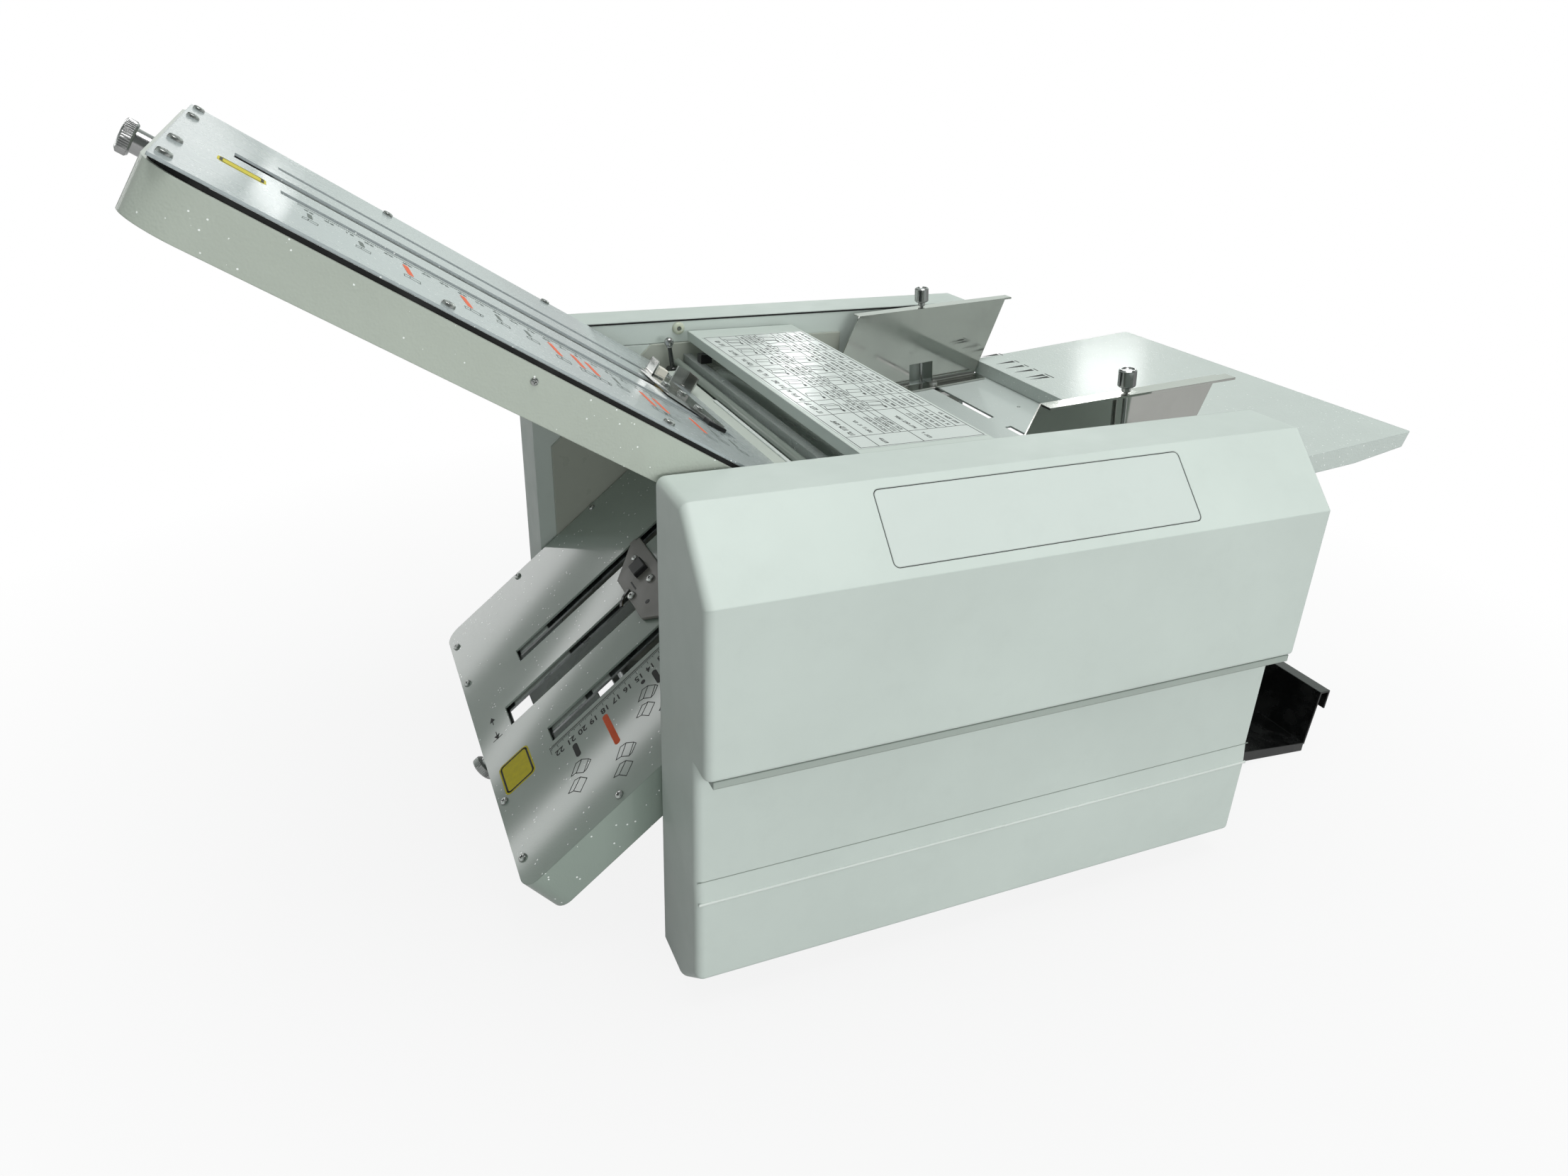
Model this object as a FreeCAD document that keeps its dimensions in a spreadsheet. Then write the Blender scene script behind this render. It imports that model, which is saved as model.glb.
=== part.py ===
import FreeCAD, Part
import math
import os
import Sketcher

# Desktop paper folding machine, two fold plates, in millimetres.
# X runs along the paper path towards the feed table, Y across the machine to the rear, Z up.
# The origin is on the table top under the middle of the machine's overall length.
# The pieces are drawn from the middle of the side covers and moved there at the end.

App = FreeCAD
Vector = App.Vector
doc = App.newDocument("PaperFolder")

DIMENSIONS = [
    ("cover_middle", 28.9, "middle of the side covers from the origin"),
    ("centre_plane", 7.35, "centre plane of the paper path from the origin"),
    ("cover_length", 397.0, "side covers along X"),
    ("cover_inner", 168.7, "inner face of a side cover from the centre plane"),
    ("cover_shoulder", 206.9, "where the cover's flat top ends"),
    ("cover_outer", 245.2, "outer face of the front cover's bulge"),
    ("cover_waist", 228.5, "outer face of the front cover under its bulge, and of the rear cover"),
    ("cover_base", 230.5, "outer face of the cover's base band"),
    ("cover_top", 310.6, "top of the covers"),
    ("cover_shoulder_z", 270.6, "lower end of the front cover's sloping shoulder"),
    ("rear_shoulder_z", 288.0, "lower end of the rear cover's sloping shoulder"),
    ("cover_bulge_z", 171.6, "underside of the upper bulge"),
    ("cover_ridge_z", 79.5, "top of the base band"),
    ("cover_bottom", 2.0, "lower edge of the covers"),
    ("cover_hem_y", 206.0, "where the cover's underside starts to rise"),
    ("cover_hem_z", 23.5, "top of the rising hem"),
    ("cover_corner", 5.0, "rounding of the cover's upright corners"),
    ("cover_edge", 2.5, "rounding of the cover's long lower edges"),
    ("cover_wall", 2.5, "wall of the covers"),
    ("frame_inner", 165.2, "inner face of a side frame from the centre plane"),
    ("frame_gauge", 3.0, "thickness of the side frames"),
    ("frame_top", 292.0, "top of the side frames"),
    ("base_gauge", 2.0, "thickness of the base plate"),
    ("base_under", 4.0, "underside of the base plate"),
    ("foot_radius", 10.0, "rubber foot"),
    ("roller_radius", 14.8, "fold rollers"),
    ("roller_half", 161.0, "half length of the fold rollers"),
    ("shaft_radius", 5.0, "roller journals"),
    ("fit", 0.05, "running clearance on the radius"),
    ("feed_radius", 19.8, "feed tyres"),
    ("feed_width", 26.0, "feed tyres"),
    ("gear_module", 1.5, "all gears"),
    ("gear_width", 8.0, "face width of the gears"),
    ("table_slope", 5.05, "slope of the feed table in degrees"),
    ("table_half", 158.3, "half width of the raised table"),
    ("table_length", 169.2, "raised table, from the step to its outer end"),
    ("table_step", 12.0, "drop from the raised table to the slotted one"),
    ("sheet_gauge", 1.5, "sheet metal of tables, guides and fold plates"),
    ("front_table_half", 164.6, "half width of the slotted table"),
    ("rear_guide_y", 149.5, "inner face of the rear paper guide"),
    ("front_guide_y", 110.0, "inner face of the front paper guide"),
    ("thumb_radius", 5.9, "knurled heads of the thumb screws"),
    ("upper_slope", 32.0, "rise of the upper fold plate in degrees"),
    ("upper_length", 395.5, "upper fold plate, outer end from its datum"),
    ("lower_slope", 39.3, "fall of the lower fold plate in degrees"),
    ("lower_length", 274.0, "lower fold plate, outer end from its datum"),
    ("plate_start", 40.0, "roller end of both fold plates from their datum"),
    ("plate_half", 161.6, "half width of the upper fold plate"),
    ("casing_end", 398.0, "outer end of the upper plate's casing from its datum"),
    ("casing_gauge", 2.5, "casing of the upper fold plate"),
    ("casing_corner", 24.5, "rounding of the upper plate's casing in plan"),
    ("lower_corner", 12.0, "rounding of the lower fold plate's outer corners"),
    ("plate_depth", 28.5, "depth of both fold plates"),
    ("paper_gap", 3.0, "channel for the sheet in the fold plates"),
    ("slot_y", 55.6, "outer slots of the fold plates from the centre plane"),
    ("screw_radius", 3.0, "lead screws"),
    ("knob_radius", 9.2, "knurled knobs of the fold plates"),
    ("knob_width", 6.5, "knurled knobs of the fold plates"),
    ("upper_stop_rest", 88.0, "upper stop at rest from the plate's datum"),
    ("lower_stop_rest", 112.0, "lower stop at rest from the plate's datum"),
    ("chart_top", 301.5, "top of the chart cover"),
    ("chart_left", -70.6, "left edge of the chart cover"),
    ("chart_right", 19.9, "right edge of the chart cover"),
    ("chart_half", 164.0, "half length of the chart cover"),
    ("tray_half", 154.0, "half width of the exit tray"),
    ("tray_gauge", 1.2, "sheet metal of the exit tray and chute"),
    ("tray_floor", 9.0, "top of the tray floor at the leaning wall"),
    ("tray_rise", 0.10, "rise of the tray floor towards the machine per length"),
    ("tray_end", 353.0, "foot of the tray's leaning wall"),
    ("motor_radius", 27.0, "drive motor"),
    ("motor_length", 26.0, "drive motor"),
]

sheet = doc.addObject("Spreadsheet::Sheet", "dims")
for row, (alias, value, note) in enumerate(DIMENSIONS, 1):
    sheet.set("A%d" % row, alias)
    sheet.set("B%d" % row, str(value))
    sheet.setAlias("B%d" % row, alias)
    sheet.set("C%d" % row, note)
doc.recompute()


class Dim:
    """A length that knows both its value and its spreadsheet expression."""

    def __init__(self, value, text=None):
        self.value = float(value)
        self.text = text or "(%.6f)" % value
        self.linked = text is not None

    def join(self, other, sign, value):
        result = Dim(value, "(%s %s %s)" % (self.text, sign, other.text))
        result.linked = self.linked or other.linked
        return result

    def __add__(self, other):
        other = as_dim(other)
        return self.join(other, "+", self.value + other.value)

    def __sub__(self, other):
        other = as_dim(other)
        return self.join(other, "-", self.value - other.value)

    def __mul__(self, other):
        other = as_dim(other)
        return self.join(other, "*", self.value * other.value)

    def __truediv__(self, other):
        other = as_dim(other)
        return self.join(other, "/", self.value / other.value)

    def __neg__(self):
        return as_dim(0) - self

    def __radd__(self, other):
        return as_dim(other) + self

    def __rsub__(self, other):
        return as_dim(other) - self

    def __rmul__(self, other):
        return as_dim(other) * self


def as_dim(number):
    return number if isinstance(number, Dim) else Dim(number)


def dim(alias):
    return Dim(sheet.get(alias), "dims." + alias)


def bind(obj, prop, length):
    if length.linked:
        obj.setExpression(prop, length.text)


def set_size(obj, prop, length):
    length = as_dim(length)
    setattr(obj, prop, length.value)
    bind(obj, prop, length)


def set_base(obj, x, y, z, rotation=App.Rotation()):
    x, y, z = as_dim(x), as_dim(y), as_dim(z)
    obj.Placement = App.Placement(Vector(x.value, y.value, z.value), rotation)
    bind(obj, "Placement.Base.x", x)
    bind(obj, "Placement.Base.y", y)
    bind(obj, "Placement.Base.z", z)


# ---------------------------------------------------------------- building blocks

def block(name, x0, x1, y0, y1, z0, z1):
    obj = doc.addObject("Part::Box", name)
    set_size(obj, "Length", as_dim(x1) - x0)
    set_size(obj, "Width", as_dim(y1) - y0)
    set_size(obj, "Height", as_dim(z1) - z0)
    set_base(obj, x0, y0, z0)
    return obj


ALONG_X = App.Rotation(Vector(0, 1, 0), 90)
ALONG_Y = App.Rotation(Vector(1, 0, 0), -90)
ALONG_Z = App.Rotation()


def rod(name, x, y, z, radius, length, direction=ALONG_Y):
    """Cylinder that starts at x, y, z and runs along +X, +Y or +Z."""
    obj = doc.addObject("Part::Cylinder", name)
    set_size(obj, "Radius", radius)
    set_size(obj, "Height", length)
    set_base(obj, x, y, z, direction)
    return obj


def fuse(name, pieces):
    obj = doc.addObject("Part::MultiFuse", name)
    obj.Shapes = pieces
    obj.Refine = True
    return obj


def cut(name, base, tools):
    tool = tools[0] if len(tools) == 1 else fuse(name + "_tools", tools)
    obj = doc.addObject("Part::Cut", name)
    obj.Base = base
    obj.Tool = tool
    return obj


def group(name, pieces):
    obj = doc.addObject("Part::Compound", name)
    obj.Links = pieces
    return obj


def new_sketch(body, role, name, offset=0.0):
    plane = [f for f in body.Origin.OriginFeatures if f.Role == role][0]
    sketch = body.newObject("Sketcher::SketchObject", name)
    sketch.AttachmentSupport = (plane, [""])
    sketch.MapMode = "FlatFace"
    offset = as_dim(offset)
    sketch.AttachmentOffset = App.Placement(Vector(0, 0, offset.value), App.Rotation())
    bind(sketch, "AttachmentOffset.Base.z", offset)
    return sketch


def fix_point(sketch, geometry, point, x, y):
    for kind, length in (("DistanceX", as_dim(x)), ("DistanceY", as_dim(y))):
        index = sketch.addConstraint(Sketcher.Constraint(kind, -1, 1, geometry, point, length.value))
        bind(sketch, "Constraints[%d]" % index, length)


def add_outline(sketch, points):
    """Closed polygon whose corners are held by dimensions."""
    corners = [Vector(as_dim(x).value, as_dim(y).value, 0) for x, y in points]
    first = sketch.GeometryCount
    count = len(points)
    for i in range(count):
        sketch.addGeometry(Part.LineSegment(corners[i], corners[(i + 1) % count]), False)
    for i in range(count):
        after = first + (i + 1) % count
        sketch.addConstraint(Sketcher.Constraint("Coincident", first + i, 2, after, 1))
    for i, (x, y) in enumerate(points):
        fix_point(sketch, first + i, 1, x, y)


def add_circle(sketch, x, y, radius):
    radius = as_dim(radius)
    centre = Vector(as_dim(x).value, as_dim(y).value, 0)
    index = sketch.addGeometry(Part.Circle(centre, Vector(0, 0, 1), radius.value), False)
    fix_point(sketch, index, 3, x, y)
    number = sketch.addConstraint(Sketcher.Constraint("Radius", index, radius.value))
    bind(sketch, "Constraints[%d]" % number, radius)


def rectangle(x0, x1, y0, y1):
    return [(x0, y0), (x1, y0), (x1, y1), (x0, y1)]


def pad(body, sketch, length, midplane=False, backwards=False):
    feature = body.newObject("PartDesign::Pad", body.Name + "_pad")
    feature.Profile = sketch
    set_size(feature, "Length", length)
    feature.Midplane = midplane
    feature.Reversed = backwards
    return feature


def pocket(body, sketch, length, midplane=True):
    feature = body.newObject("PartDesign::Pocket", body.Name + "_pocket")
    feature.Profile = sketch
    set_size(feature, "Length", length)
    feature.Midplane = midplane
    return feature


def new_body(name):
    return doc.addObject("PartDesign::Body", name)


def prism(name, points, y0, y1, holes=()):
    """Outline in the XZ plane, extruded from y0 to y1."""
    y0, y1 = as_dim(y0), as_dim(y1)
    body = new_body(name)
    sketch = new_sketch(body, "XZ_Plane", name + "_outline", -y1)
    add_outline(sketch, points)
    for x, z, radius in holes:
        add_circle(sketch, x, z, radius)
    pad(body, sketch, y1 - y0)
    return body


def thicken(path, gauge):
    """Outline of a bent strip: the path offset to its right-hand side by the gauge."""
    normals = []
    for (x0, z0), (x1, z1) in zip(path, path[1:]):
        length = math.hypot(x1 - x0, z1 - z0)
        normals.append(((z1 - z0) / length, -(x1 - x0) / length))
    offset = []
    for i, (x, z) in enumerate(path):
        before = normals[max(i - 1, 0)]
        after = normals[min(i, len(normals) - 1)]
        nx, nz = before[0] + after[0], before[1] + after[1]
        scale = 2.0 * gauge / (nx * nx + nz * nz)
        offset.append((x + nx * scale, z + nz * scale))
    return list(path) + offset[::-1]


def turned(piece, x, z, degrees, sign):
    """Tilts a finished piece about the Y axis and moves its datum to x, z."""
    degrees = as_dim(degrees)
    rotation = App.Rotation(Vector(0, sign, 0), degrees.value)
    piece.Placement = App.Placement(Vector(x, 0, z), rotation)
    piece.setExpression("Placement.Rotation.Angle", "%s * 1 deg" % degrees.text)
    return piece


def round_edges(body, feature, radius, chosen):
    """Fillets the edges whose middle point passes the test."""
    doc.recompute()
    names = []
    for number, edge in enumerate(feature.Shape.Edges, 1):
        middle = edge.valueAt((edge.FirstParameter + edge.LastParameter) / 2.0)
        start, end = edge.Vertexes[0].Point, edge.Vertexes[-1].Point
        if chosen(middle, end - start):
            names.append("Edge%d" % number)
    fillet = body.newObject("PartDesign::Fillet", body.Name + "_round")
    fillet.Base = (feature, names)
    set_size(fillet, "Radius", radius)
    return fillet


def rounded_panel(name, base, radius):
    """Rounds the four edges of a box that run along its height."""
    radius = as_dim(radius).value
    fillet = doc.addObject("Part::Fillet", name)
    fillet.Base = base
    doc.recompute()
    normal = base.Placement.Rotation.multVec(Vector(0, 0, 1))
    picked = []
    for number, edge in enumerate(base.Shape.Edges, 1):
        along = (edge.Vertexes[-1].Point - edge.Vertexes[0].Point).normalize()
        if abs(along.dot(normal)) > 0.99:
            picked.append((number, radius, radius))
    fillet.Edges = picked
    return fillet


# ---------------------------------------------------------------- shared positions

UPPER_DATUM = (-61.5, 254.6)
LOWER_DATUM = (-69.7, 233.7)
TABLE_DATUM = (197.4, 260.9)


def around(centre, distance, degrees):
    angle = math.radians(degrees)
    return (centre[0] + distance * math.cos(angle), centre[1] + distance * math.sin(angle))


def circle_meeting(a, radius_a, b, radius_b):
    """Upper meeting point of two circles in the XZ plane."""
    dx, dz = b[0] - a[0], b[1] - a[1]
    gap = math.hypot(dx, dz)
    along = (gap * gap + radius_a * radius_a - radius_b * radius_b) / (2.0 * gap)
    across = math.sqrt(radius_a * radius_a - along * along)
    return (a[0] + (along * dx - across * dz) / gap, a[1] + (along * dz + across * dx) / gap)


MODULE = dim("gear_module").value
ROLLER_TEETH = 20
IDLER_TEETH = 14
DRIVE_TEETH = 48
PINION_TEETH = 12
PITCH = MODULE * ROLLER_TEETH

ROLLER_2 = (-67.0, 236.8)
ROLLER_1 = around(ROLLER_2, PITCH, 58)
ROLLER_3 = around(ROLLER_2, PITCH, 165)
ROLLER_4 = around(ROLLER_2, PITCH, -95)
FEED = (-15.0, 252.0)
IDLER_REACH = MODULE * (ROLLER_TEETH + IDLER_TEETH) / 2.0
IDLER = circle_meeting(ROLLER_1, IDLER_REACH, FEED, IDLER_REACH)
MOTOR = around(ROLLER_2, MODULE * (DRIVE_TEETH + PINION_TEETH) / 2.0, -40)
HINGE = (12.0, 285.0)
LEVER = (-86.0, 271.0)
ROCKER = (193.5, 103.0)
TIE_RODS = [(-150.0, 35.0), (60.0, 50.0), (150.0, 165.0), (-20.0, 130.0)]
GEAR_PLANE = 180.0
DRIVE_PLANE = 191.0

FRAME_INNER = dim("frame_inner")
FRAME_OUTER = FRAME_INNER + dim("frame_gauge")
GAUGE = dim("sheet_gauge")
FIT = dim("fit")


def both_sides(name, maker):
    """Two separate mirrored solids kept together under one name."""
    return group(name, [maker(name + "_front", -1), maker(name + "_rear", 1)])


def span(side, near, far):
    """Interval from near to far on one side of the centre plane, in rising order."""
    near, far = as_dim(near), as_dim(far)
    return (near, far) if side > 0 else (-far, -near)


# ---------------------------------------------------------------- chassis

def base_plate():
    under = dim("base_under")
    top = under + dim("base_gauge")
    plate = block("base_plate_sheet", -150, 188, -200, 200, under, top)
    flanges = []
    for side in (-1, 1):
        y0, y1 = span(side, 198.5, 200)
        flanges.append(block("base_plate_flange_%d" % (side + 1), -145, 180, y0, y1, top, top + 14))
    return fuse("base_plate", [plate] + flanges)


def feet():
    pieces = []
    for x in (-135, 165):
        for y in (-185, 185):
            foot = doc.addObject("Part::Cone", "foot_%d_%d" % (x + 165, y + 185))
            set_size(foot, "Radius1", dim("foot_radius") - 1.5)
            set_size(foot, "Radius2", dim("foot_radius"))
            set_size(foot, "Height", dim("base_under"))
            set_base(foot, x, y, 0)
            pieces.append(foot)
    return group("feet", pieces)


def frame_outline():
    floor = dim("base_under") + dim("base_gauge")
    top = dim("frame_top")
    return [(-185, floor), (192, floor), (192, 245.0), (66, 233.5), (66, top), (-100, top), (-185, 215)]


def frame_holes():
    bore = dim("shaft_radius") + FIT
    shafts = [ROLLER_1, ROLLER_2, ROLLER_3, ROLLER_4, FEED]
    return [(x, z, bore) for x, z in shafts]


def side_frames():
    lever_hole = (LEVER[0], LEVER[1], 3.0 + FIT)
    prism("side_frame_front", frame_outline(), -FRAME_OUTER, -FRAME_INNER, frame_holes())
    plate = prism("side_frame_rear_plate", frame_outline(), FRAME_INNER, FRAME_OUTER,
                  frame_holes() + [lever_hole])
    stud = rod("side_frame_rear_stud", IDLER[0], FRAME_OUTER, IDLER[1], 4.0, 13.0)
    fuse("side_frame_rear", [plate, stud])


def tie_rods():
    pieces = []
    for number, (x, z) in enumerate(TIE_RODS, 1):
        pieces.append(rod("tie_rod_%d" % number, x, -FRAME_INNER, z, 5.0, FRAME_INNER * 2))
    return group("tie_rods", pieces)


# ---------------------------------------------------------------- side covers

def cover_profile(inset, side):
    """Section of a cover across the machine, moved inwards by the inset. Only the front one bulges."""
    top = dim("cover_top") - inset
    inner = dim("cover_inner") + inset
    outer = dim("cover_outer") - inset
    waist = dim("cover_waist") - inset
    if side < 0:
        face = [(outer, dim("cover_shoulder_z") - as_dim(inset) * 0.4),
                (outer, dim("cover_bulge_z") + inset), (waist, dim("cover_bulge_z") + inset)]
    else:
        face = [(waist, dim("rear_shoulder_z") - as_dim(inset) * 0.4)]
    return [
        (inner, dim("cover_bottom") if inset == 0 else as_dim(-20)),
        (inner, top),
        (dim("cover_shoulder") - (as_dim(inset) * 0.41), top),
    ] + face + [
        (waist, dim("cover_ridge_z") + 14),
        (dim("cover_base") - inset, dim("cover_ridge_z")),
        (dim("cover_base") - inset, dim("cover_hem_z") + (as_dim(inset) * 0.4)),
        (dim("cover_hem_y") - (as_dim(inset) * 0.4), dim("cover_bottom") if inset == 0 else as_dim(-20)),
    ]


def on_side(points, side):
    return [(as_dim(y) * side, z) for y, z in points]


def cover_shell(name, side):
    length = dim("cover_length")
    wall = dim("cover_wall").value
    body = new_body(name)
    outline = new_sketch(body, "YZ_Plane", name + "_outline")
    add_outline(outline, on_side(cover_profile(0, side), side))
    shell = pad(body, outline, length, midplane=True)
    end = length.value / 2.0

    def upright_corner(middle, direction):
        at_end = abs(abs(middle.x) - end) < 0.01
        outer_side = abs(middle.y) > dim("cover_shoulder").value + 0.1 and abs(direction.z) > 1
        on_top = middle.z > dim("cover_top").value - 0.1
        return at_end and (outer_side or on_top)

    def long_edge(middle, direction):
        at_bulge = abs(middle.z - dim("cover_bulge_z").value) < 0.01 and abs(middle.y) > 240
        at_ridge = abs(middle.z - dim("cover_hem_z").value) < 0.01
        return abs(direction.x) > 300 and (at_bulge or at_ridge)

    rounded = round_edges(body, shell, dim("cover_corner"), upright_corner)
    round_edges(body, rounded, dim("cover_edge"), long_edge)
    hollow = new_sketch(body, "YZ_Plane", name + "_hollow")
    add_outline(hollow, on_side(cover_profile(wall, side), side))
    pocket(body, hollow, length - 2 * wall)
    return body


def inner_window(name, side):
    """Opening in the cover's inner wall for shafts, gears and the base plate."""
    y0, y1 = span(side, dim("cover_inner") - 1, dim("cover_inner") + dim("cover_wall") + 1)
    shafts = block(name + "_shafts", -125, 30, y0, y1, 180, 292)
    below = block(name + "_below", -192, 192, y0, y1, 0, 8)
    return [shafts, below]


def shoulder_recess():
    """Shallow pocket of the blank panel on the front cover's slope."""
    drop = dim("cover_top").value - dim("cover_shoulder_z").value
    run = dim("cover_outer").value - dim("cover_shoulder").value
    angle = math.degrees(math.atan2(drop, run))
    tilt = App.Rotation(Vector(1, 0, 0), angle)
    return angle, tilt


PANEL_X = 2.05


def panel_block(name, half, low, high, bottom, top):
    """Box on the front cover's slope; low and high are distances down the slope."""
    angle, tilt = shoulder_recess()
    box = doc.addObject("Part::Box", name)
    set_size(box, "Length", 2 * half)
    set_size(box, "Width", high - low)
    set_size(box, "Height", top - bottom)
    down = (-math.cos(math.radians(angle)), -math.sin(math.radians(angle)))
    out = (-math.sin(math.radians(angle)), math.cos(math.radians(angle)))
    y = -dim("cover_shoulder").value + down[0] * high + out[0] * bottom
    z = dim("cover_top").value + down[1] * high + out[1] * bottom
    box.Placement = App.Placement(Vector(PANEL_X - half, y, z), tilt)
    return box


def covers():
    shell = cover_shell("front_cover_shell", -1)
    recess = rounded_panel("panel_recess", panel_block("panel_recess_box", 98.7, 5.4, 49.0, -0.8, 5.0), 3.5)
    cut("front_cover", shell, inner_window("front_window", -1) + [recess])
    rounded_panel("cover_panel", panel_block("cover_panel_box", 98.2, 5.9, 48.5, -0.8, -0.1), 3.0)
    shell = cover_shell("rear_cover_shell", 1)
    face = dim("cover_length") / 2
    inlet = block("inlet_hole", face - 7, face + 3, 191.2, 218.8, 45.2, 64.8)
    switch = block("switch_hole", face - 7, face + 3, 198.2, 211.8, 89.2, 116.8)
    cut("rear_cover", shell, inner_window("rear_window", 1) + [inlet, switch])


def mains_parts():
    face = dim("cover_length") / 2
    flange = block("inlet_flange", face + 0.1, face + 2.1, 187, 223, 42, 68)
    body = block("inlet_body", face - 21, face + 0.1, 191.4, 218.6, 45.4, 64.6)
    socket = block("inlet_socket", face - 15, face + 3, 193.0, 217.0, 47.0, 63.0)
    shell = cut("inlet_shell", fuse("inlet_outside", [flange, body]), [socket])
    pins = []
    for y, z in ((198, 53), (205, 57), (212, 53)):
        pins.append(block("inlet_pin_%d" % y, face - 16, face - 4, y - 1, y + 1, z - 2, z + 2))
    fuse("power_inlet", [shell] + pins)
    pivot_x, pivot_z = ROCKER
    bezel = block("switch_bezel", face + 0.1, face + 2.1, 196, 214, pivot_z - 16, pivot_z + 16)
    case = block("switch_case", face - 17, face + 0.1, 198.4, 211.6, pivot_z - 13.6, pivot_z + 13.6)
    well = block("switch_well", face - 9, face + 3, 199.6, 210.4, pivot_z - 12, pivot_z + 12)
    bearing = rod("switch_bearing", pivot_x, 199.0, pivot_z, 1.2 + FIT, 12.0)
    cut("switch_housing", fuse("switch_outside", [bezel, case]), [well, bearing])
    tilt = math.radians(8)
    outline = []
    for x, z in ((-1.5, -2.0), (2.5, -10.2), (8.5, -10.6), (6.6, 0.0), (8.5, 10.6), (2.5, 10.2), (-1.5, 2.0)):
        outline.append((pivot_x + x * math.cos(tilt) + z * math.sin(tilt),
                        pivot_z + z * math.cos(tilt) - x * math.sin(tilt)))
    cap = prism("rocker_cap", outline, 199.9, 210.1)
    pin = rod("rocker_pin", pivot_x, 199.1, pivot_z, 1.2, 11.8)
    fuse("rocker", [cap, pin])


# ---------------------------------------------------------------- feed table and guides

def on_table(piece):
    return turned(piece, TABLE_DATUM[0], TABLE_DATUM[1], dim("table_slope"), -1)


def feed_table_front():
    half = dim("front_table_half")
    tongue = dim("table_half") - 2.3
    under = -dim("table_step") - GAUGE
    body = new_body("front_table_sheet")
    sketch = new_sketch(body, "XY_Plane", "front_table_outline", under)
    add_outline(sketch, [(-195, -half), (0.5, -half), (0.5, -tongue), (60, -tongue),
                         (60, tongue), (0.5, tongue), (0.5, half), (-195, half)])
    add_outline(sketch, rectangle(-53.3, -47.7, -161.5, 23))
    add_outline(sketch, rectangle(-53.3, -47.7, 46.8, 161.5))
    pad(body, sketch, GAUGE)
    flanges = []
    for side in (-1, 1):
        y0, y1 = span(side, half - GAUGE, half)
        flanges.append(block("front_table_flange_%d" % (side + 1), -195, 0.5, y0, y1, -26, under))
    on_table(fuse("feed_table_front", [body] + flanges))


def feed_table_rear():
    half = dim("table_half")
    length = dim("table_length")
    body = new_body("feed_table_rear")
    sketch = new_sketch(body, "XZ_Plane", "rear_table_outline")
    add_outline(sketch, [(2, -14), (118, -14), (length - 4.6, -9.8), (length, 0), (2, 0)])
    lid = pad(body, sketch, half * 2, midplane=True)
    round_edges(body, lid, 3.0, lambda middle, run: middle.x > length.value - 3 and abs(run.z) > 5)
    hollow = new_sketch(body, "XY_Plane", "rear_table_hollow", -20)
    add_outline(hollow, rectangle(2 + GAUGE, length - 4.6 - GAUGE, -half + GAUGE, half - GAUGE))
    inside = pocket(body, hollow, 20 - GAUGE, midplane=False)
    inside.Reversed = True
    step = new_sketch(body, "XY_Plane", "rear_table_step", -20)
    add_outline(step, rectangle(0, 2 + GAUGE, -half - 1, half + 1))
    gap = pocket(body, step, 20 - dim("table_step") + 0.3, midplane=False)
    gap.Reversed = True
    return on_table(body)


def table_rails():
    def rail(name, side):
        y0, y1 = span(side, 138, 150)
        return block(name, 6, 150, y0, y1, -dim("table_step") + 0.1, -GAUGE - 0.1)
    on_table(both_sides("table_rails", rail))


THUMB_X = -54.4
THUMB_SHANK = 1.5
GUIDE_FACE = [(-155.4, -11.6), (-69.5, -11.6), (-69.5, 8.3), (-46.5, 8.3), (-46.5, -11.6),
              (-4.6, -11.6), (26.1, 53.0), (-116.9, 57.6)]
GUIDE_FLANGE = [(-116.9, 57.6), (-116.9, 56.1), (33.2, 51.3), (33.2, 52.8)]
GUIDE_FOOT = [(-150, -11.6), (-1.5, -11.6), (-1.5, -10.1), (-150, -10.1)]
GUIDE_BEND = 4.0


def paper_guide(name, side, face):
    """Upright sheet with a flange away from the paper and a foot towards it."""
    foot_y = face - 8.5
    thumb_y = face + 6.5
    y0, y1 = span(side, face, face + GAUGE)
    upright = prism(name + "_upright", GUIDE_FACE, y0, y1)
    y0, y1 = span(side, face + GAUGE, face + 11.5)
    flange = prism(name + "_flange", GUIDE_FLANGE, y0, y1)
    y0, y1 = span(side, face - 14.5, face)
    foot = prism(name + "_foot", GUIDE_FOOT, y0, y1)
    thumb_hole = rod(name + "_thumb_hole", THUMB_X, thumb_y * side, 40, THUMB_SHANK + FIT, 30, ALONG_Z)
    foot_hole = rod(name + "_foot_hole", -50.5, foot_y * side, -15, 2.6, 8, ALONG_Z)
    bend = []
    for number, (x0, x1) in enumerate(((-149.5, -69.6), (-46.4, -5.2))):
        y0, y1 = span(side, face - GUIDE_BEND, face + 0.1)
        corner = block("%s_bend_corner_%d" % (name, number), x0, x1, y0, y1, -10.6, GUIDE_BEND - 10.1)
        hollow = rod("%s_bend_hollow_%d" % (name, number), x0 - 1, (face - GUIDE_BEND) * side,
                     GUIDE_BEND - 10.1, GUIDE_BEND, x1 - x0 + 2, ALONG_X)
        bend.append(cut("%s_bend_%d" % (name, number), corner, [hollow]))
    bent = fuse(name + "_sheet", [upright, flange, foot] + bend)
    on_table(cut(name, bent, [thumb_hole, foot_hole]))

    y0, y1 = span(side, foot_y - 13, foot_y + 13)
    shoe = block(name + "_shoe_plate", -60.5, -40.5, y0, y1, -18, -14)
    shank = rod(name + "_shoe_shank", -50.5, foot_y * side, -16, 2.3, 6.5, ALONG_Z)
    head = rod(name + "_shoe_head", -50.5, foot_y * side, -10.1, 3.6, 2.2, ALONG_Z)
    on_table(fuse(name + "_shoe", [shoe, shank, head]))


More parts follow.
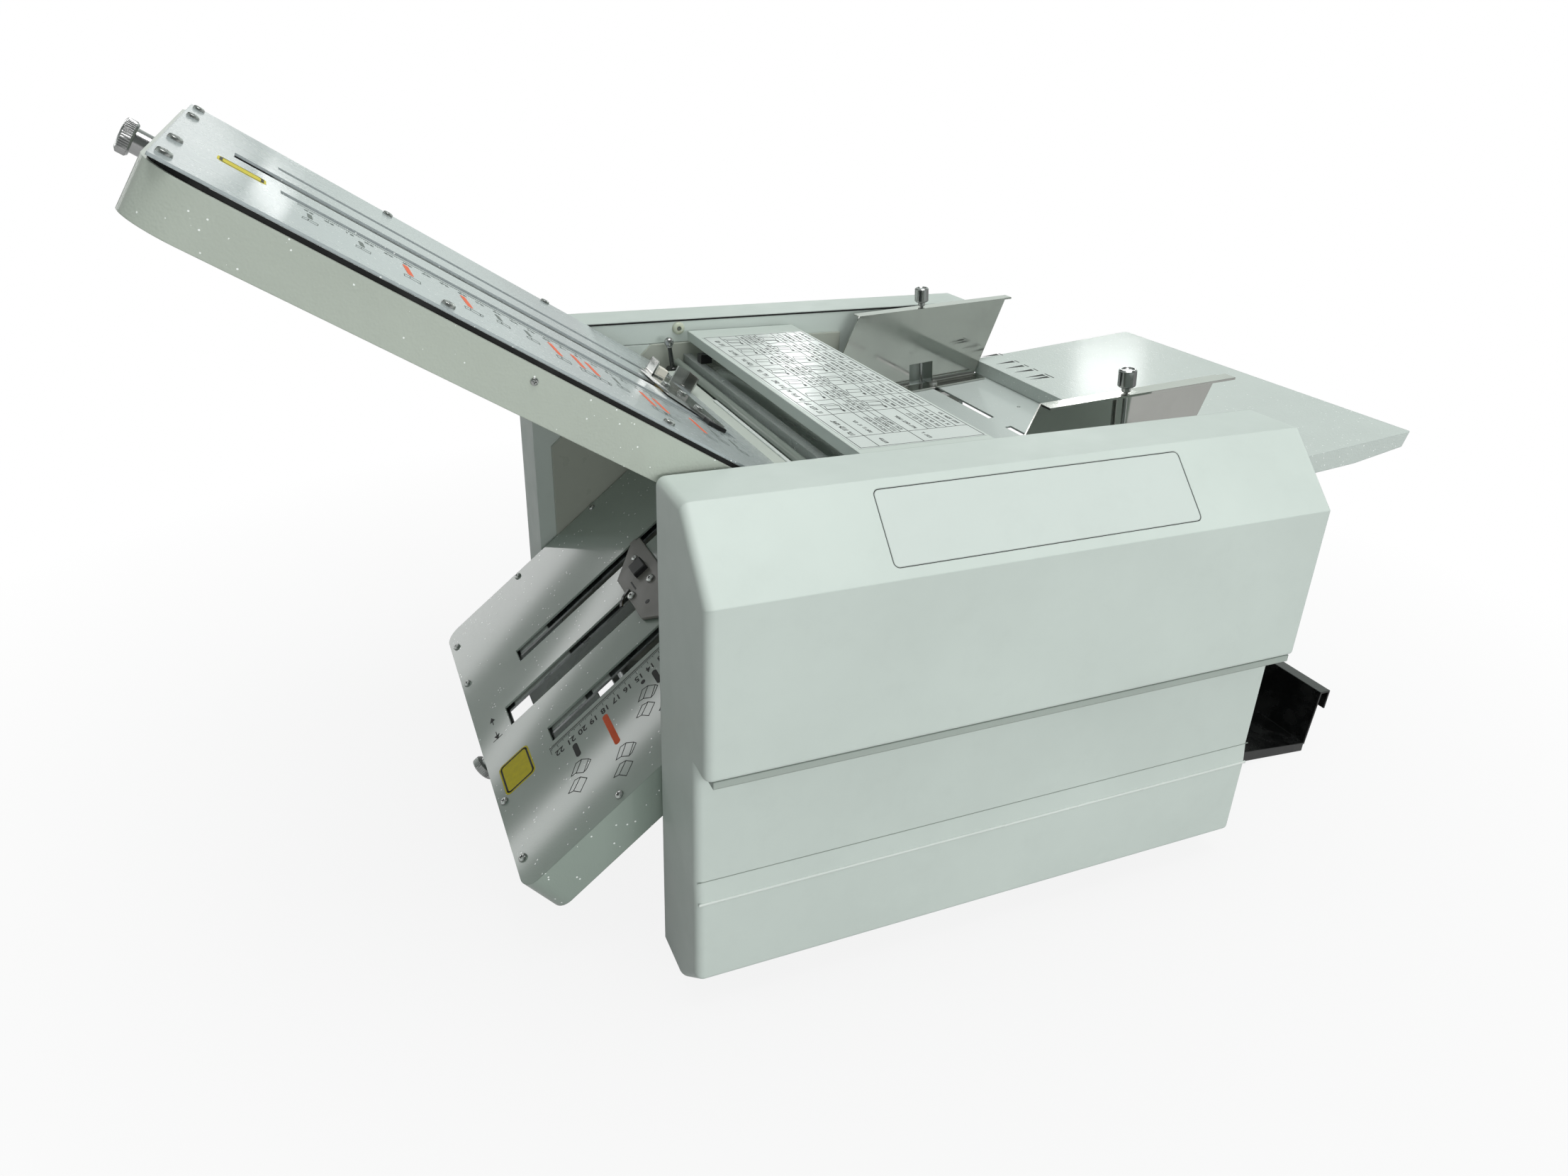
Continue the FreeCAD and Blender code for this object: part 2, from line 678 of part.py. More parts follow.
def thumb_screw(name, y):
    shank = rod(name + "_shank", THUMB_X, y, -11.6, THUMB_SHANK, 72, ALONG_Z)
    collar = rod(name + "_collar", THUMB_X, y, 56.6, 3.0, 4, ALONG_Z)
    head = rod(name + "_head", THUMB_X, y, 60, dim("thumb_radius"), 11.8, ALONG_Z)
    rim = doc.addObject("Part::Chamfer", name + "_rim")
    rim.Base = head
    doc.recompute()
    rim.Edges = [(number, 0.8, 0.8) for number, edge in enumerate(head.Shape.Edges, 1)
                 if edge.Curve.TypeId == "Part::GeomCircle"]
    on_table(fuse(name, [shank, collar, rim]))


def guides():
    rear, front = dim("rear_guide_y"), dim("front_guide_y")
    paper_guide("rear_guide", 1, rear)
    paper_guide("front_guide", -1, front)
    thumb_screw("rear_thumb_screw", rear + 6.5)
    thumb_screw("front_thumb_screw", -front - 6.5)


# ---------------------------------------------------------------- rollers and drive

def fold_roller(name, centre, front_end, rear_end):
    half = dim("roller_half")
    x, z = centre
    barrel = rod(name + "_barrel", x, -half, z, dim("roller_radius"), half * 2)
    shaft = rod(name + "_shaft", x, -front_end, z, dim("shaft_radius"), rear_end + front_end)
    return fuse(name, [barrel, shaft])


def gear_gap(pitch_radius, teeth):
    """Half of one tooth gap: root and tip radius with half widths, flanks leaning 20 degrees."""
    half_tooth = 0.2 * math.pi * MODULE
    lean = math.tan(math.radians(20))
    corners = []
    for radius in (pitch_radius - 1.15 * MODULE, pitch_radius + 1.2 * MODULE):
        width = half_tooth - lean * (radius - pitch_radius)
        angle = math.pi / teeth - width / radius
        corners.append((radius * math.cos(angle), radius * math.sin(angle)))
    return corners


def gear(name, teeth, centre, plane, gap_angle, bore):
    """Spur gear whose rear face lies in the given plane; one gap points along gap_angle."""
    radius = dim("gear_module") * teeth / 2
    body = new_body(name)
    blank = new_sketch(body, "XZ_Plane", name + "_blank")
    add_circle(blank, 0, 0, radius + dim("gear_module") * 0.8)
    add_circle(blank, 0, 0, bore)
    pad(body, blank, dim("gear_width"))
    (root_x, root_z), (tip_x, tip_z) = gear_gap(radius.value, teeth)
    space = new_sketch(body, "XZ_Plane", name + "_space")
    add_outline(space, [(root_x, -root_z), (tip_x, -tip_z), (tip_x, tip_z), (root_x, root_z)])
    gap = pocket(body, space, dim("gear_width") * 2)
    teeth_pattern = body.newObject("PartDesign::PolarPattern", name + "_teeth")
    teeth_pattern.Originals = [gap]
    teeth_pattern.Axis = (space, ["N_Axis"])
    teeth_pattern.Angle = 360
    teeth_pattern.Occurrences = teeth
    body.Tip = teeth_pattern
    turn = App.Rotation(Vector(0, -1, 0), math.degrees(gap_angle))
    set_base(body, centre[0], plane, centre[1], turn)
    return body


def meshing_gap(centre_a, gap_a, teeth_a, centre_b, teeth_b):
    """Gap direction of gear b so that its teeth enter the gaps of gear a."""
    toward = math.atan2(centre_b[1] - centre_a[1], centre_b[0] - centre_a[0])
    return toward + math.pi + (toward - gap_a) * teeth_a / teeth_b + math.pi / teeth_b


def gear_train():
    bore = dim("shaft_radius")
    gap_2 = 0.0
    small = gear("fold_gear_2_small", ROLLER_TEETH, ROLLER_2, GEAR_PLANE, gap_2, bore)
    large = gear("fold_gear_2_large", DRIVE_TEETH, ROLLER_2, DRIVE_PLANE, 0.0, bore)
    spacer = rod("fold_gear_2_spacer", ROLLER_2[0], GEAR_PLANE, ROLLER_2[1], 11, 3)
    spacer_bore = rod("fold_gear_2_bore", ROLLER_2[0], GEAR_PLANE - 1, ROLLER_2[1], bore, 5)
    fuse("fold_gear_2", [small, large, cut("fold_gear_2_ring", spacer, [spacer_bore])])
    gaps = {}
    for number, centre in ((1, ROLLER_1), (3, ROLLER_3), (4, ROLLER_4)):
        gaps[number] = meshing_gap(ROLLER_2, gap_2, ROLLER_TEETH, centre, ROLLER_TEETH)
        gear("fold_gear_%d" % number, ROLLER_TEETH, centre, GEAR_PLANE, gaps[number], bore)
    idler_gap = meshing_gap(ROLLER_1, gaps[1], ROLLER_TEETH, IDLER, IDLER_TEETH)
    gear("idler_gear", IDLER_TEETH, IDLER, GEAR_PLANE, idler_gap, 4.0 + FIT)
    feed_gap = meshing_gap(IDLER, idler_gap, IDLER_TEETH, FEED, ROLLER_TEETH)
    gear("feed_gear", ROLLER_TEETH, FEED, GEAR_PLANE, feed_gap, bore)
    pinion_gap = meshing_gap(ROLLER_2, 0.0, DRIVE_TEETH, MOTOR, PINION_TEETH)
    pinion = gear("motor_pinion_teeth", PINION_TEETH, MOTOR, DRIVE_PLANE, pinion_gap, as_dim(3.0))
    shaft = rod("motor_pinion_shaft", MOTOR[0], 182, MOTOR[1], 3.0, 18)
    fuse("motor_pinion", [pinion, shaft])


def rollers():
    ends = {1: 181.0, 2: 191.5, 3: 181.0, 4: 181.0}
    centres = {1: ROLLER_1, 2: ROLLER_2, 3: ROLLER_3, 4: ROLLER_4}
    for number, centre in centres.items():
        fold_roller("fold_roller_%d" % number, centre, 172.0, ends[number])
    rod("feed_shaft", FEED[0], -172.0, FEED[1], dim("shaft_radius"), 353.0)
    tyres = []
    for number, y in enumerate((-62.0, 0.0, 62.0)):
        start = y - dim("feed_width") / 2
        outer = rod("feed_tyre_%d" % number, FEED[0], start, FEED[1], dim("feed_radius"), dim("feed_width"))
        inner = rod("feed_tyre_bore_%d" % number, FEED[0], start - 1, FEED[1], dim("shaft_radius"),
                    dim("feed_width") + 2)
        tyres.append(cut("feed_tyre_ring_%d" % number, outer, [inner]))
    group("feed_tyres", tyres)


def motor():
    x, z = MOTOR
    can = rod("motor_can", x, 195.1, z, dim("motor_radius"), dim("motor_length"))
    cap = rod("motor_cap", x, 195.1 + dim("motor_length"), z, 12, 3)
    hole = rod("motor_hole", x, 190, z, 3.0 + FIT, 12)
    cut("motor", fuse("motor_outside", [can, cap]), [hole])
    plate = prism("motor_bracket_plate", [(-78, 184), (14, 184), (14, 250), (-78, 250)], 193.0, 195.0,
                  [(x, z, 10.0)])
    legs = []
    for number, (leg_x, leg_z) in enumerate(((7, 190), (7, 226), (-52, 189))):
        legs.append(rod("motor_bracket_leg_%d" % number, leg_x, FRAME_OUTER, leg_z, 4.0, 193.0 - FRAME_OUTER))
    fuse("motor_bracket", [plate] + legs)


# ---------------------------------------------------------------- paper path

def paper_path():
    half = dim("front_table_half").value
    lower = thicken([(-47.0, 239.0), (-24.0, 227.5), (2.0, 229.3)], 1.2)
    prism("infeed_guide", lower, -half, half)
    prism("separator_pad", [(-22, 227.65), (-8, 228.62), (-8, 231.6), (-22, 231.4)], -15, 15)
    chute = thicken([(-48.0, 216.5), (30.0, 203.0), (165.0, 75.0), (186.0, 62.0)], 1.2)
    prism("exit_chute", chute, -half, half)


def chart_cover():
    left, right = dim("chart_left").value, dim("chart_right").value
    top = dim("chart_top").value
    half = dim("chart_half")
    outline = thicken([(left, top - 7.5), (left, top), (right, top), (right, top - 5.5)], GAUGE.value)
    sheet_piece = prism("chart_cover_sheet", outline, -half, half)
    ear = [(5, top - 1.0), (5, 281), (8, 278), (16, 278), (19, 281), (19, top - 1.0)]

    def ear_piece(name, side):
        y0, y1 = span(side, 160.5, 163.5)
        return prism(name, ear, y0, y1, [(HINGE[0], HINGE[1], 2.5 + FIT)])

    fuse("chart_cover", [sheet_piece, ear_piece("chart_ear_front", -1), ear_piece("chart_ear_rear", 1)])

    def pin(name, side):
        y0, y1 = span(side, 158, FRAME_INNER)
        return rod(name, HINGE[0], y0, HINGE[1], 2.5, y1 - y0)

    both_sides("chart_hinge_pins", pin)


def roller_guard():
    prism("clear_guard", [(-74, 273), (-64, 273), (-64, 280), (-67, 283), (-74, 283)],
          -FRAME_INNER, FRAME_INNER)
    rod("guard_bar", -79.0, -FRAME_INNER, 276.0, 3.5, FRAME_INNER * 2)


def release_lever():
    x, z = LEVER
    hub = rod("release_lever_hub", x, 152.5, z, 4.5, 5)
    shaft = rod("release_lever_shaft", x, 152.5, z, 3.0, 15.5)
    arm = prism("release_lever_arm", [(x - 2, z), (x + 2, z), (x + 0.2, z + 21), (x - 2.8, z + 21)], 153.5, 156.5)
    ball = doc.addObject("Part::Sphere", "release_lever_ball")
    set_size(ball, "Radius", 3.6)
    set_base(ball, x - 1.3, 155, z + 22)
    fuse("release_lever", [hub, shaft, arm, ball])


def bumper():
    inner = dim("cover_inner")
    rod("bumper", -77.1, inner - 3, 303.2, 5.0, 3.0)


# ---------------------------------------------------------------- fold plates

def on_upper(piece):
    return turned(piece, UPPER_DATUM[0], UPPER_DATUM[1], dim("upper_slope"), 1)


def on_lower(piece):
    return turned(piece, LOWER_DATUM[0], LOWER_DATUM[1], dim("lower_slope"), -1)


SLOT_START = -62.0
SCREW_Z = -18.0


def plate_slots(sketch, mid_end, outer_end, half_mid, half_outer):
    """Middle slot for the nut and two outer slots for the stop fingers."""
    slot_y = dim("slot_y")
    add_outline(sketch, rectangle(-mid_end, SLOT_START, -half_mid, half_mid))
    for side in (-1, 1):
        centre = slot_y * side
        add_outline(sketch, rectangle(-outer_end, SLOT_START, centre - half_outer, centre + half_outer))


def bottom_sheet(prefix, end, mid_end, outer_end, half_outer, place):
    """Lower skin of the channel with its spacer strips and the lug of the lead screw."""
    start = dim("plate_start") + 8
    half = dim("plate_half")
    under = -dim("paper_gap") - GAUGE * 2
    body = new_body(prefix + "_bottom_skin")
    sketch = new_sketch(body, "XY_Plane", prefix + "_bottom_outline", under)
    add_outline(sketch, rectangle(-end, -start, -half, half))
    plate_slots(sketch, mid_end, outer_end, 12.0, half_outer)
    pad(body, sketch, GAUGE)
    pieces = [body]
    for side in (-1, 1):
        y0, y1 = span(side, half - 3, half)
        pieces.append(block("%s_spacer_%d" % (prefix, side + 1), -end, -start, y0, y1, under + GAUGE, -GAUGE))
    lug = block(prefix + "_lug", -58, -54, -10, 10, SCREW_Z - 7, under)
    hole = rod(prefix + "_lug_hole", -60, 0, SCREW_Z, dim("screw_radius") + FIT, 10, ALONG_X)
    pieces.append(cut(prefix + "_bearing", lug, [hole]))
    return place(fuse(prefix + "_plate_bottom", pieces))


def stop_parts(prefix, wall_inside, screw_end, place):
    """Lead screw, knob, stop carriage and nut of one fold plate."""
    rest = dim(prefix + "_stop_rest")
    radius = dim("screw_radius")
    pieces = [rod(prefix + "_screw_rod", -screw_end, 0, SCREW_Z, radius, screw_end - 50, ALONG_X)]
    for number, x in enumerate((-wall_inside + 0.4, -53.6)):
        pieces.append(rod("%s_screw_ring_%d" % (prefix, number), x, 0, SCREW_Z, 5.0, 2.0, ALONG_X))
    place(fuse(prefix + "_lead_screw", pieces))
    width = dim("knob_width")
    head = rod(prefix + "_knob_head", -width - screw_end, 0, SCREW_Z, dim("knob_radius"), width, ALONG_X)
    collar = rod(prefix + "_knob_collar", -screw_end, 0, SCREW_Z, 6.5, 8.5, ALONG_X)
    bore = rod(prefix + "_knob_bore", -screw_end, 0, SCREW_Z, radius, 10, ALONG_X)
    place(cut(prefix + "_knob", fuse(prefix + "_knob_solid", [head, collar]), [bore]))

    body = new_body(prefix + "_carriage_plate")
    sketch = new_sketch(body, "XY_Plane", prefix + "_carriage_outline", 1.0)
    add_outline(sketch, [(17 - rest, -57), (17 - rest, 57), (7 - rest, 57), (-15 - rest, 31),
                         (-15 - rest, -31), (7 - rest, -57)])
    pad(body, sketch, 2.0)
    fingers = []
    for side in (-1, 1):
        y0, y1 = span(side, 51.1, 60.1)
        fingers.append(block("%s_finger_%d" % (prefix, side + 1), 10 - rest, 12 - rest, y0, y1, -8, 1.0))
        fingers.append(block("%s_bridge_%d" % (prefix, side + 1), 8 - rest, 14 - rest, y0, y1, 1.0, 3.0))
    place(fuse(prefix + "_carriage", [body] + fingers))
    nut = block(prefix + "_nut_block", -10 - rest, 10 - rest, -9, 9, SCREW_Z - 6, 1.0)
    thread = rod(prefix + "_nut_thread", -12 - rest, 0, SCREW_Z, radius + FIT, 24, ALONG_X)
    place(cut(prefix + "_nut", nut, [thread]))


def plate_skin(name, end, start, half, slots, half_outer):
    """Upper skin of a fold plate; slots holds the far ends of the middle and outer slots."""
    body = new_body(name)
    sketch = new_sketch(body, "XY_Plane", name + "_outline", -GAUGE)
    add_outline(sketch, rectangle(-end, -start, -half, half))
    plate_slots(sketch, slots[0], slots[1], 12.0, half_outer)
    pad(body, sketch, GAUGE)
    return body


def bent_casing(name, end, half, bottom, top, corner, wall):
    """Two sides and an end bent from one strip with rounded corners in plan."""
    inner_half = half - wall
    outer = block(name + "_outer_box", -end, 40, -half, half, bottom, top)
    inner = block(name + "_inner_box", wall - end, 60, -inner_half, inner_half, bottom - 5, top + 5)
    open_end = block(name + "_open_end", -60, 70, -half - 5, half + 5, bottom - 5, top + 5)
    bore = rod(name + "_bore", -end - 2, 0, SCREW_Z, dim("screw_radius") + FIT, 10, ALONG_X)
    return cut(name, rounded_panel(name + "_outer", outer, corner),
               [rounded_panel(name + "_inner", inner, corner - wall), open_end, bore])


def upper_plate():
    half = dim("plate_half")
    gauge = dim("casing_gauge")
    on_upper(plate_skin("upper_plate_top", dim("upper_length"), dim("plate_start"), half, (366, 343), 6.5))
    bottom_sheet("upper", 372, 366, 343, 5.5, on_upper)
    on_upper(bent_casing("upper_casing", dim("casing_end"), half + 0.4 + gauge, -dim("plate_depth"),
                         as_dim(-4.0), dim("casing_corner"), gauge))
    stop_parts("upper", (dim("casing_end") - gauge).value, 407.7, on_upper)


def lower_plate():
    end = dim("lower_length")
    half = dim("plate_half") + 2.0
    casing = bent_casing("lower_casing", end, half, -dim("plate_depth"), as_dim(0), dim("lower_corner"), GAUGE)
    skin = plate_skin("lower_skin", end, dim("plate_start"), half, (246, 222), 8.3)
    at_corner = end.value - 0.01
    round_edges(skin, skin.Tip, dim("lower_corner"),
                lambda middle, run: middle.x < -at_corner and abs(run.z) > 1)
    on_lower(fuse("lower_plate_top", [casing, skin]))
    bottom_sheet("lower", 262, 246, 222, 7.3, on_lower)
    stop_parts("lower", (end - GAUGE).value, 283.0, on_lower)


# ---------------------------------------------------------------- exit tray

def exit_tray():
    end = dim("tray_end").value
    floor = dim("tray_floor").value
    rise = dim("tray_rise").value
    gauge = dim("tray_gauge").value
    half = dim("tray_half")
    near, far = end - 192.0, end - 110.0
    path = [(110.0, floor + rise * far), (end, floor), (end + 3.6, 56.5), (end + 13.6, 56.5),
            (end + 12.8, 40.0)]
    sheet_piece = prism("exit_tray_sheet", thicken(path, gauge), -half, half)
    flange = [(192, 1.4 + 0.075 * near), (end, 1.4), (end, floor - 0.2), (192, floor - 0.2 + rise * near)]

    def flange_piece(name, side):
        y0, y1 = span(side, half - gauge, half)
        return prism(name, flange, y0, y1)

    sides = [flange_piece("exit_tray_flange_front", -1), flange_piece("exit_tray_flange_rear", 1)]
    fuse("exit_tray", [sheet_piece] + sides)


NODES = """
base_plate feet side_frame_front side_frame_rear tie_rods front_cover rear_cover cover_panel
power_inlet switch_housing rocker feed_table_front feed_table_rear table_rails
front_guide rear_guide front_guide_shoe rear_guide_shoe front_thumb_screw rear_thumb_screw
feed_shaft feed_tyres feed_gear idler_gear fold_roller_1 fold_roller_2 fold_roller_3 fold_roller_4
fold_gear_1 fold_gear_2 fold_gear_3 fold_gear_4 motor motor_pinion motor_bracket
infeed_guide separator_pad chart_cover chart_hinge_pins clear_guard guard_bar
upper_plate_top upper_plate_bottom upper_casing
upper_lead_screw upper_knob upper_carriage upper_nut
lower_plate_top lower_plate_bottom lower_lead_screw lower_knob lower_carriage lower_nut
release_lever bumper exit_chute exit_tray
""".split()


def build():
    base_plate()
    feet()
    side_frames()
    tie_rods()
    covers()
    mains_parts()
    feed_table_front()
    feed_table_rear()
    table_rails()
    guides()
    rollers()
    gear_train()
    motor()
    paper_path()
    chart_cover()
    roller_guard()
    release_lever()
    bumper()
    upper_plate()
    lower_plate()
    exit_tray()
    doc.recompute()


def move_to_origin():
    shift = App.Placement(Vector(dim("cover_middle").value, dim("centre_plane").value, 0), App.Rotation())
    for name in NODES:
        piece = doc.getObject(name)
        for axis in "xyz":
            piece.setExpression("Placement.Base." + axis, None)
        piece.Placement = shift.multiply(piece.Placement)
    doc.recompute()


def check_and_export():
    broken = [obj.Name for obj in doc.Objects if "Invalid" in obj.State or "Error" in obj.State]
    if broken:
        raise RuntimeError("not built: " + ", ".join(broken))
    os.makedirs("parts", exist_ok=True)
    for name in NODES:
        piece = doc.getObject(name)
        if piece.Shape.isNull() or not piece.Shape.isValid():
            raise RuntimeError(name + " has no valid shape")
        piece.Label = name
        piece.Shape.exportStep("parts/%s.step" % name)
        box = piece.Shape.BoundBox
        print("%-20s %2d solids %10.0f mm3  x %7.1f %7.1f  y %7.1f %7.1f  z %7.1f %7.1f" % (
            name, len(piece.Shape.Solids), piece.Shape.Volume,
            box.XMin, box.XMax, box.YMin, box.YMax, box.ZMin, box.ZMax))


build()
move_to_origin()
check_and_export()
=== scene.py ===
import math
import random

import bmesh
import bpy
from mathutils import Matrix, Quaternion, Vector

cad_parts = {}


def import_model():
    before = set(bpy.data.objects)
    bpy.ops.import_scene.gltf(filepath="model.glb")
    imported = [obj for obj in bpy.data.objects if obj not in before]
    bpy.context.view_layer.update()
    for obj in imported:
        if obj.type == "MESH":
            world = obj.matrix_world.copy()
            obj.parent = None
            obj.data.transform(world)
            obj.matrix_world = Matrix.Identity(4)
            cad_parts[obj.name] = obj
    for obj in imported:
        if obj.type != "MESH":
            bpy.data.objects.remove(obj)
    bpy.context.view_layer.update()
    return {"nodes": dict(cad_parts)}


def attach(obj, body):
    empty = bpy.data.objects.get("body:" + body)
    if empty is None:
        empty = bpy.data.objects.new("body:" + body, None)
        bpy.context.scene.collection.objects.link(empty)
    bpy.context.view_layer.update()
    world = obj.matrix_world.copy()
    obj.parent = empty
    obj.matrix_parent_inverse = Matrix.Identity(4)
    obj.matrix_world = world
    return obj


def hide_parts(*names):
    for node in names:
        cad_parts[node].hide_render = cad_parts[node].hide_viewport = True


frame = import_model()

# Desktop paper folding machine. Lengths are millimetres in the local frames below, and
# each frame turns them into metres in the shared frame.

MM = 0.001
COVER_MIDDLE, CENTRE_PLANE = 28.9, 7.35     # drawing origin in the shared frame
SCENE = bpy.context.scene


def local_frame(x, z, degrees):
    """Drawing frame moved along X and Z and turned about Y."""
    place = Matrix.Translation(((x + COVER_MIDDLE) * MM, CENTRE_PLANE * MM, z * MM))
    return place @ Matrix.Rotation(math.radians(degrees), 4, "Y") @ Matrix.Scale(MM, 4)


MACHINE = local_frame(0, 0, 0)
UPPER = local_frame(-61.5, 254.6, 32.0)
LOWER = local_frame(-69.7, 233.7, -39.3)
TABLE = local_frame(197.4, 260.9, -5.05)
SHOULDER_AT = ((2.05 + COVER_MIDDLE) * MM, (CENTRE_PLANE - 206.9) * MM, 310.6 * MM)
FRONT_SHOULDER = Matrix.Translation(SHOULDER_AT) \
    @ Matrix.Rotation(math.atan2(40.0, 38.3), 4, "X") @ Matrix.Scale(MM, 4)
SCREW_Z = -18.0                             # lead screw axis below a fold plate's face
PRINT_LOW, PRINT_HIGH = 0.01, 0.09          # film of ink above a surface


# ---------------------------------------------------------------- materials

def srgb(red, green, blue):
    """Linear colour of an 8-bit display colour."""
    out = []
    for value in (red, green, blue):
        share = value / 255.0
        out.append(share / 12.92 if share <= 0.04045 else ((share + 0.055) / 1.055) ** 2.4)
    return (out[0], out[1], out[2], 1.0)


def tint(colour, factor):
    return (colour[0] * factor, colour[1] * factor, colour[2] * factor, 1.0)


class Look:
    """A procedural material. Texture scales are per metre in the piece's own frame."""

    def __init__(self, name, colour, metallic=0.0, roughness=0.5, **sockets):
        self.material = bpy.data.materials.new(name)
        self.material.use_nodes = True
        self.tree = self.material.node_tree
        self.shader = self.tree.nodes["Principled BSDF"]
        self.shader.inputs["Base Color"].default_value = colour
        self.shader.inputs["Metallic"].default_value = metallic
        self.shader.inputs["Roughness"].default_value = roughness
        for key, value in sockets.items():
            self.shader.inputs[key.replace("_", " ")].default_value = value
        self.coords = self.tree.nodes.new("ShaderNodeTexCoord").outputs["Object"]
        self.normal = None

    def node(self, kind, inputs, **settings):
        node = self.tree.nodes.new(kind)
        for key, value in settings.items():
            setattr(node, key, value)
        for key, value in inputs.items():
            if isinstance(value, bpy.types.NodeSocket):
                self.tree.links.new(value, node.inputs[key])
            elif value is not None:
                node.inputs[key].default_value = value
        return node

    def stretched(self, x, y, z):
        inputs = {"Vector": self.coords, "Scale": (x, y, z)}
        return self.node("ShaderNodeMapping", inputs).outputs[0]

    def noise(self, scale, detail=2.0, roughness=0.5, vector=None, distortion=0.0):
        inputs = {"Vector": vector or self.coords, "Scale": scale, "Detail": detail,
                  "Roughness": roughness, "Distortion": distortion}
        return self.node("ShaderNodeTexNoise", inputs).outputs["Fac"]

    def cells(self, scale, feature="F1"):
        inputs = {"Vector": self.coords, "Scale": scale}
        return self.node("ShaderNodeTexVoronoi", inputs, feature=feature)

    def spread(self, value, low, high, out_low=0.0, out_high=1.0):
        inputs = {"Value": value, "From Min": low, "From Max": high,
                  "To Min": out_low, "To Max": out_high}
        return self.node("ShaderNodeMapRange", inputs).outputs["Result"]

    def math(self, operation, a, b=0.0):
        return self.node("ShaderNodeMath", {0: a, 1: b}, operation=operation).outputs[0]

    def mix(self, share, a, b):
        return self.node("ShaderNodeMix", {0: share, 6: a, 7: b}, data_type="RGBA").outputs[2]

    def bump(self, height, strength, distance):
        inputs = {"Height": height, "Strength": strength, "Distance": distance,
                  "Normal": self.normal}
        self.normal = self.node("ShaderNodeBump", inputs).outputs[0]

    def chance(self, cells):
        """Random number of each cell."""
        inputs = {"Color": cells.outputs["Color"]}
        return self.node("ShaderNodeSeparateColor", inputs).outputs[0]

    def soft_edges(self, radius):
        self.normal = self.node("ShaderNodeBevel", {"Radius": radius}, samples=4).outputs[0]

    def set(self, key, value):
        self.tree.links.new(value, self.shader.inputs[key])

    def done(self):
        if self.normal:
            self.set("Normal", self.normal)
        return self.material


def enamel(name, colour, roughness, mottle=0.05, peel=0.10, edge=0.0012):
    """Smooth sprayed enamel with a faint orange peel, a little grime and soft edges."""
    look = Look(name, colour, roughness=roughness)
    look.soft_edges(edge)
    patches = look.noise(9.0, 4.0, 0.6)
    grime = look.spread(look.noise(38.0, 5.0, 0.7), 0.52, 0.78)
    base = look.mix(look.spread(patches, 0.3, 0.7), tint(colour, 1.0 - mottle),
                    tint(colour, 1.0 + mottle * 0.5))
    look.set("Base Color", look.mix(look.math("MULTIPLY", grime, 0.16), base, tint(colour, 0.80)))
    look.set("Roughness", look.spread(look.noise(60.0, 3.0), 0.3, 0.7,
                                      roughness - 0.05, roughness + 0.07))
    look.bump(look.noise(900.0, 2.0, 0.5), peel, 0.00012)
    return look.done()


COAT_SCALE, COAT_RELIEF = 760.0, 0.00035    # grains per metre, height of the grain in metres


def powder_coat(name, colour, roughness, glint_share, grain=0.32, coat=0.35, blur=0.10,
                glint_scale=1150.0, glazed=False):
    """Textured powder coat with a few fine white flecks painted in as sparkle highlights; a glazed
    one has a level top coat.
    """
    look = Look(name, colour, roughness=roughness, Coat_Weight=coat, Coat_Roughness=blur)
    look.soft_edges(0.0008)
    fine = look.cells(COAT_SCALE, "SMOOTH_F1")
    fine.inputs["Smoothness"].default_value = 0.6
    wave = look.noise(COAT_SCALE * 0.45, 3.0, 0.55)
    patches = look.spread(look.noise(14.0, 4.0, 0.6), 0.3, 0.7)
    base = look.mix(patches, tint(colour, 0.94), tint(colour, 1.02))
    # White flecks painted as the sparkle highlights of the textured coat.
    glint_grid = look.cells(glint_scale)
    chance = look.chance(glint_grid)
    where = look.spread(look.noise(30.0, 4.0, 0.7), 0.46, 0.70, 0.08, 1.8)
    chosen = look.math("LESS_THAN", chance, look.math("MULTIPLY", where, glint_share))
    close = look.math("LESS_THAN", glint_grid.outputs["Distance"], 0.36)
    painted_glint = look.math("MULTIPLY", chosen, close)
    look.set("Base Color", look.mix(painted_glint, base, (0.97, 0.99, 0.98, 1.0)))
    look.bump(look.math("ADD", fine.outputs["Distance"], wave), grain, COAT_RELIEF)
    if not glazed:
        inputs = {"Height": wave, "Strength": grain * 0.35, "Distance": COAT_RELIEF}
        look.set("Coat Normal", look.node("ShaderNodeBump", inputs).outputs[0])
    look.set("Roughness", look.spread(patches, 0.0, 1.0, roughness - 0.04, roughness + 0.05))
    return look.done()


def sheet_metal(name, colour, roughness, along, streak=0.10, smudge=0.12, edge=0.0004):
    """Polished or brushed metal whose fine scratches run along the given axis."""
    look = Look(name, colour, metallic=1.0, roughness=roughness)
    look.soft_edges(edge)
    scratch = [1.0 if i == along else 60.0 for i in range(3)]
    lines = look.noise(26.0, 4.0, 0.7, look.stretched(*scratch))
    smudges = look.spread(look.noise(22.0, 5.0, 0.65, distortion=0.6), 0.42, 0.74)
    look.set("Base Color", look.mix(look.math("MULTIPLY", smudges, 0.35), colour,
                                    tint(colour, 0.78)))
    brushed = look.spread(lines, 0.3, 0.7, roughness * 0.8, roughness * 1.25)
    look.set("Roughness", look.math("ADD", brushed, look.math("MULTIPLY", smudges, smudge)))
    look.bump(lines, streak, 0.00004)
    return look.done()


def spangled(name, colour, roughness):
    """Zinc-plated steel with faint crystal patches."""
    look = Look(name, colour, metallic=1.0, roughness=roughness)
    look.soft_edges(0.0004)
    crystals = look.chance(look.cells(160.0))
    look.set("Base Color", look.mix(crystals, tint(colour, 0.82), tint(colour, 1.08)))
    look.set("Roughness", look.spread(crystals, 0.0, 1.0, roughness - 0.08, roughness + 0.10))
    look.bump(look.noise(700.0, 3.0), 0.12, 0.00005)
    return look.done()


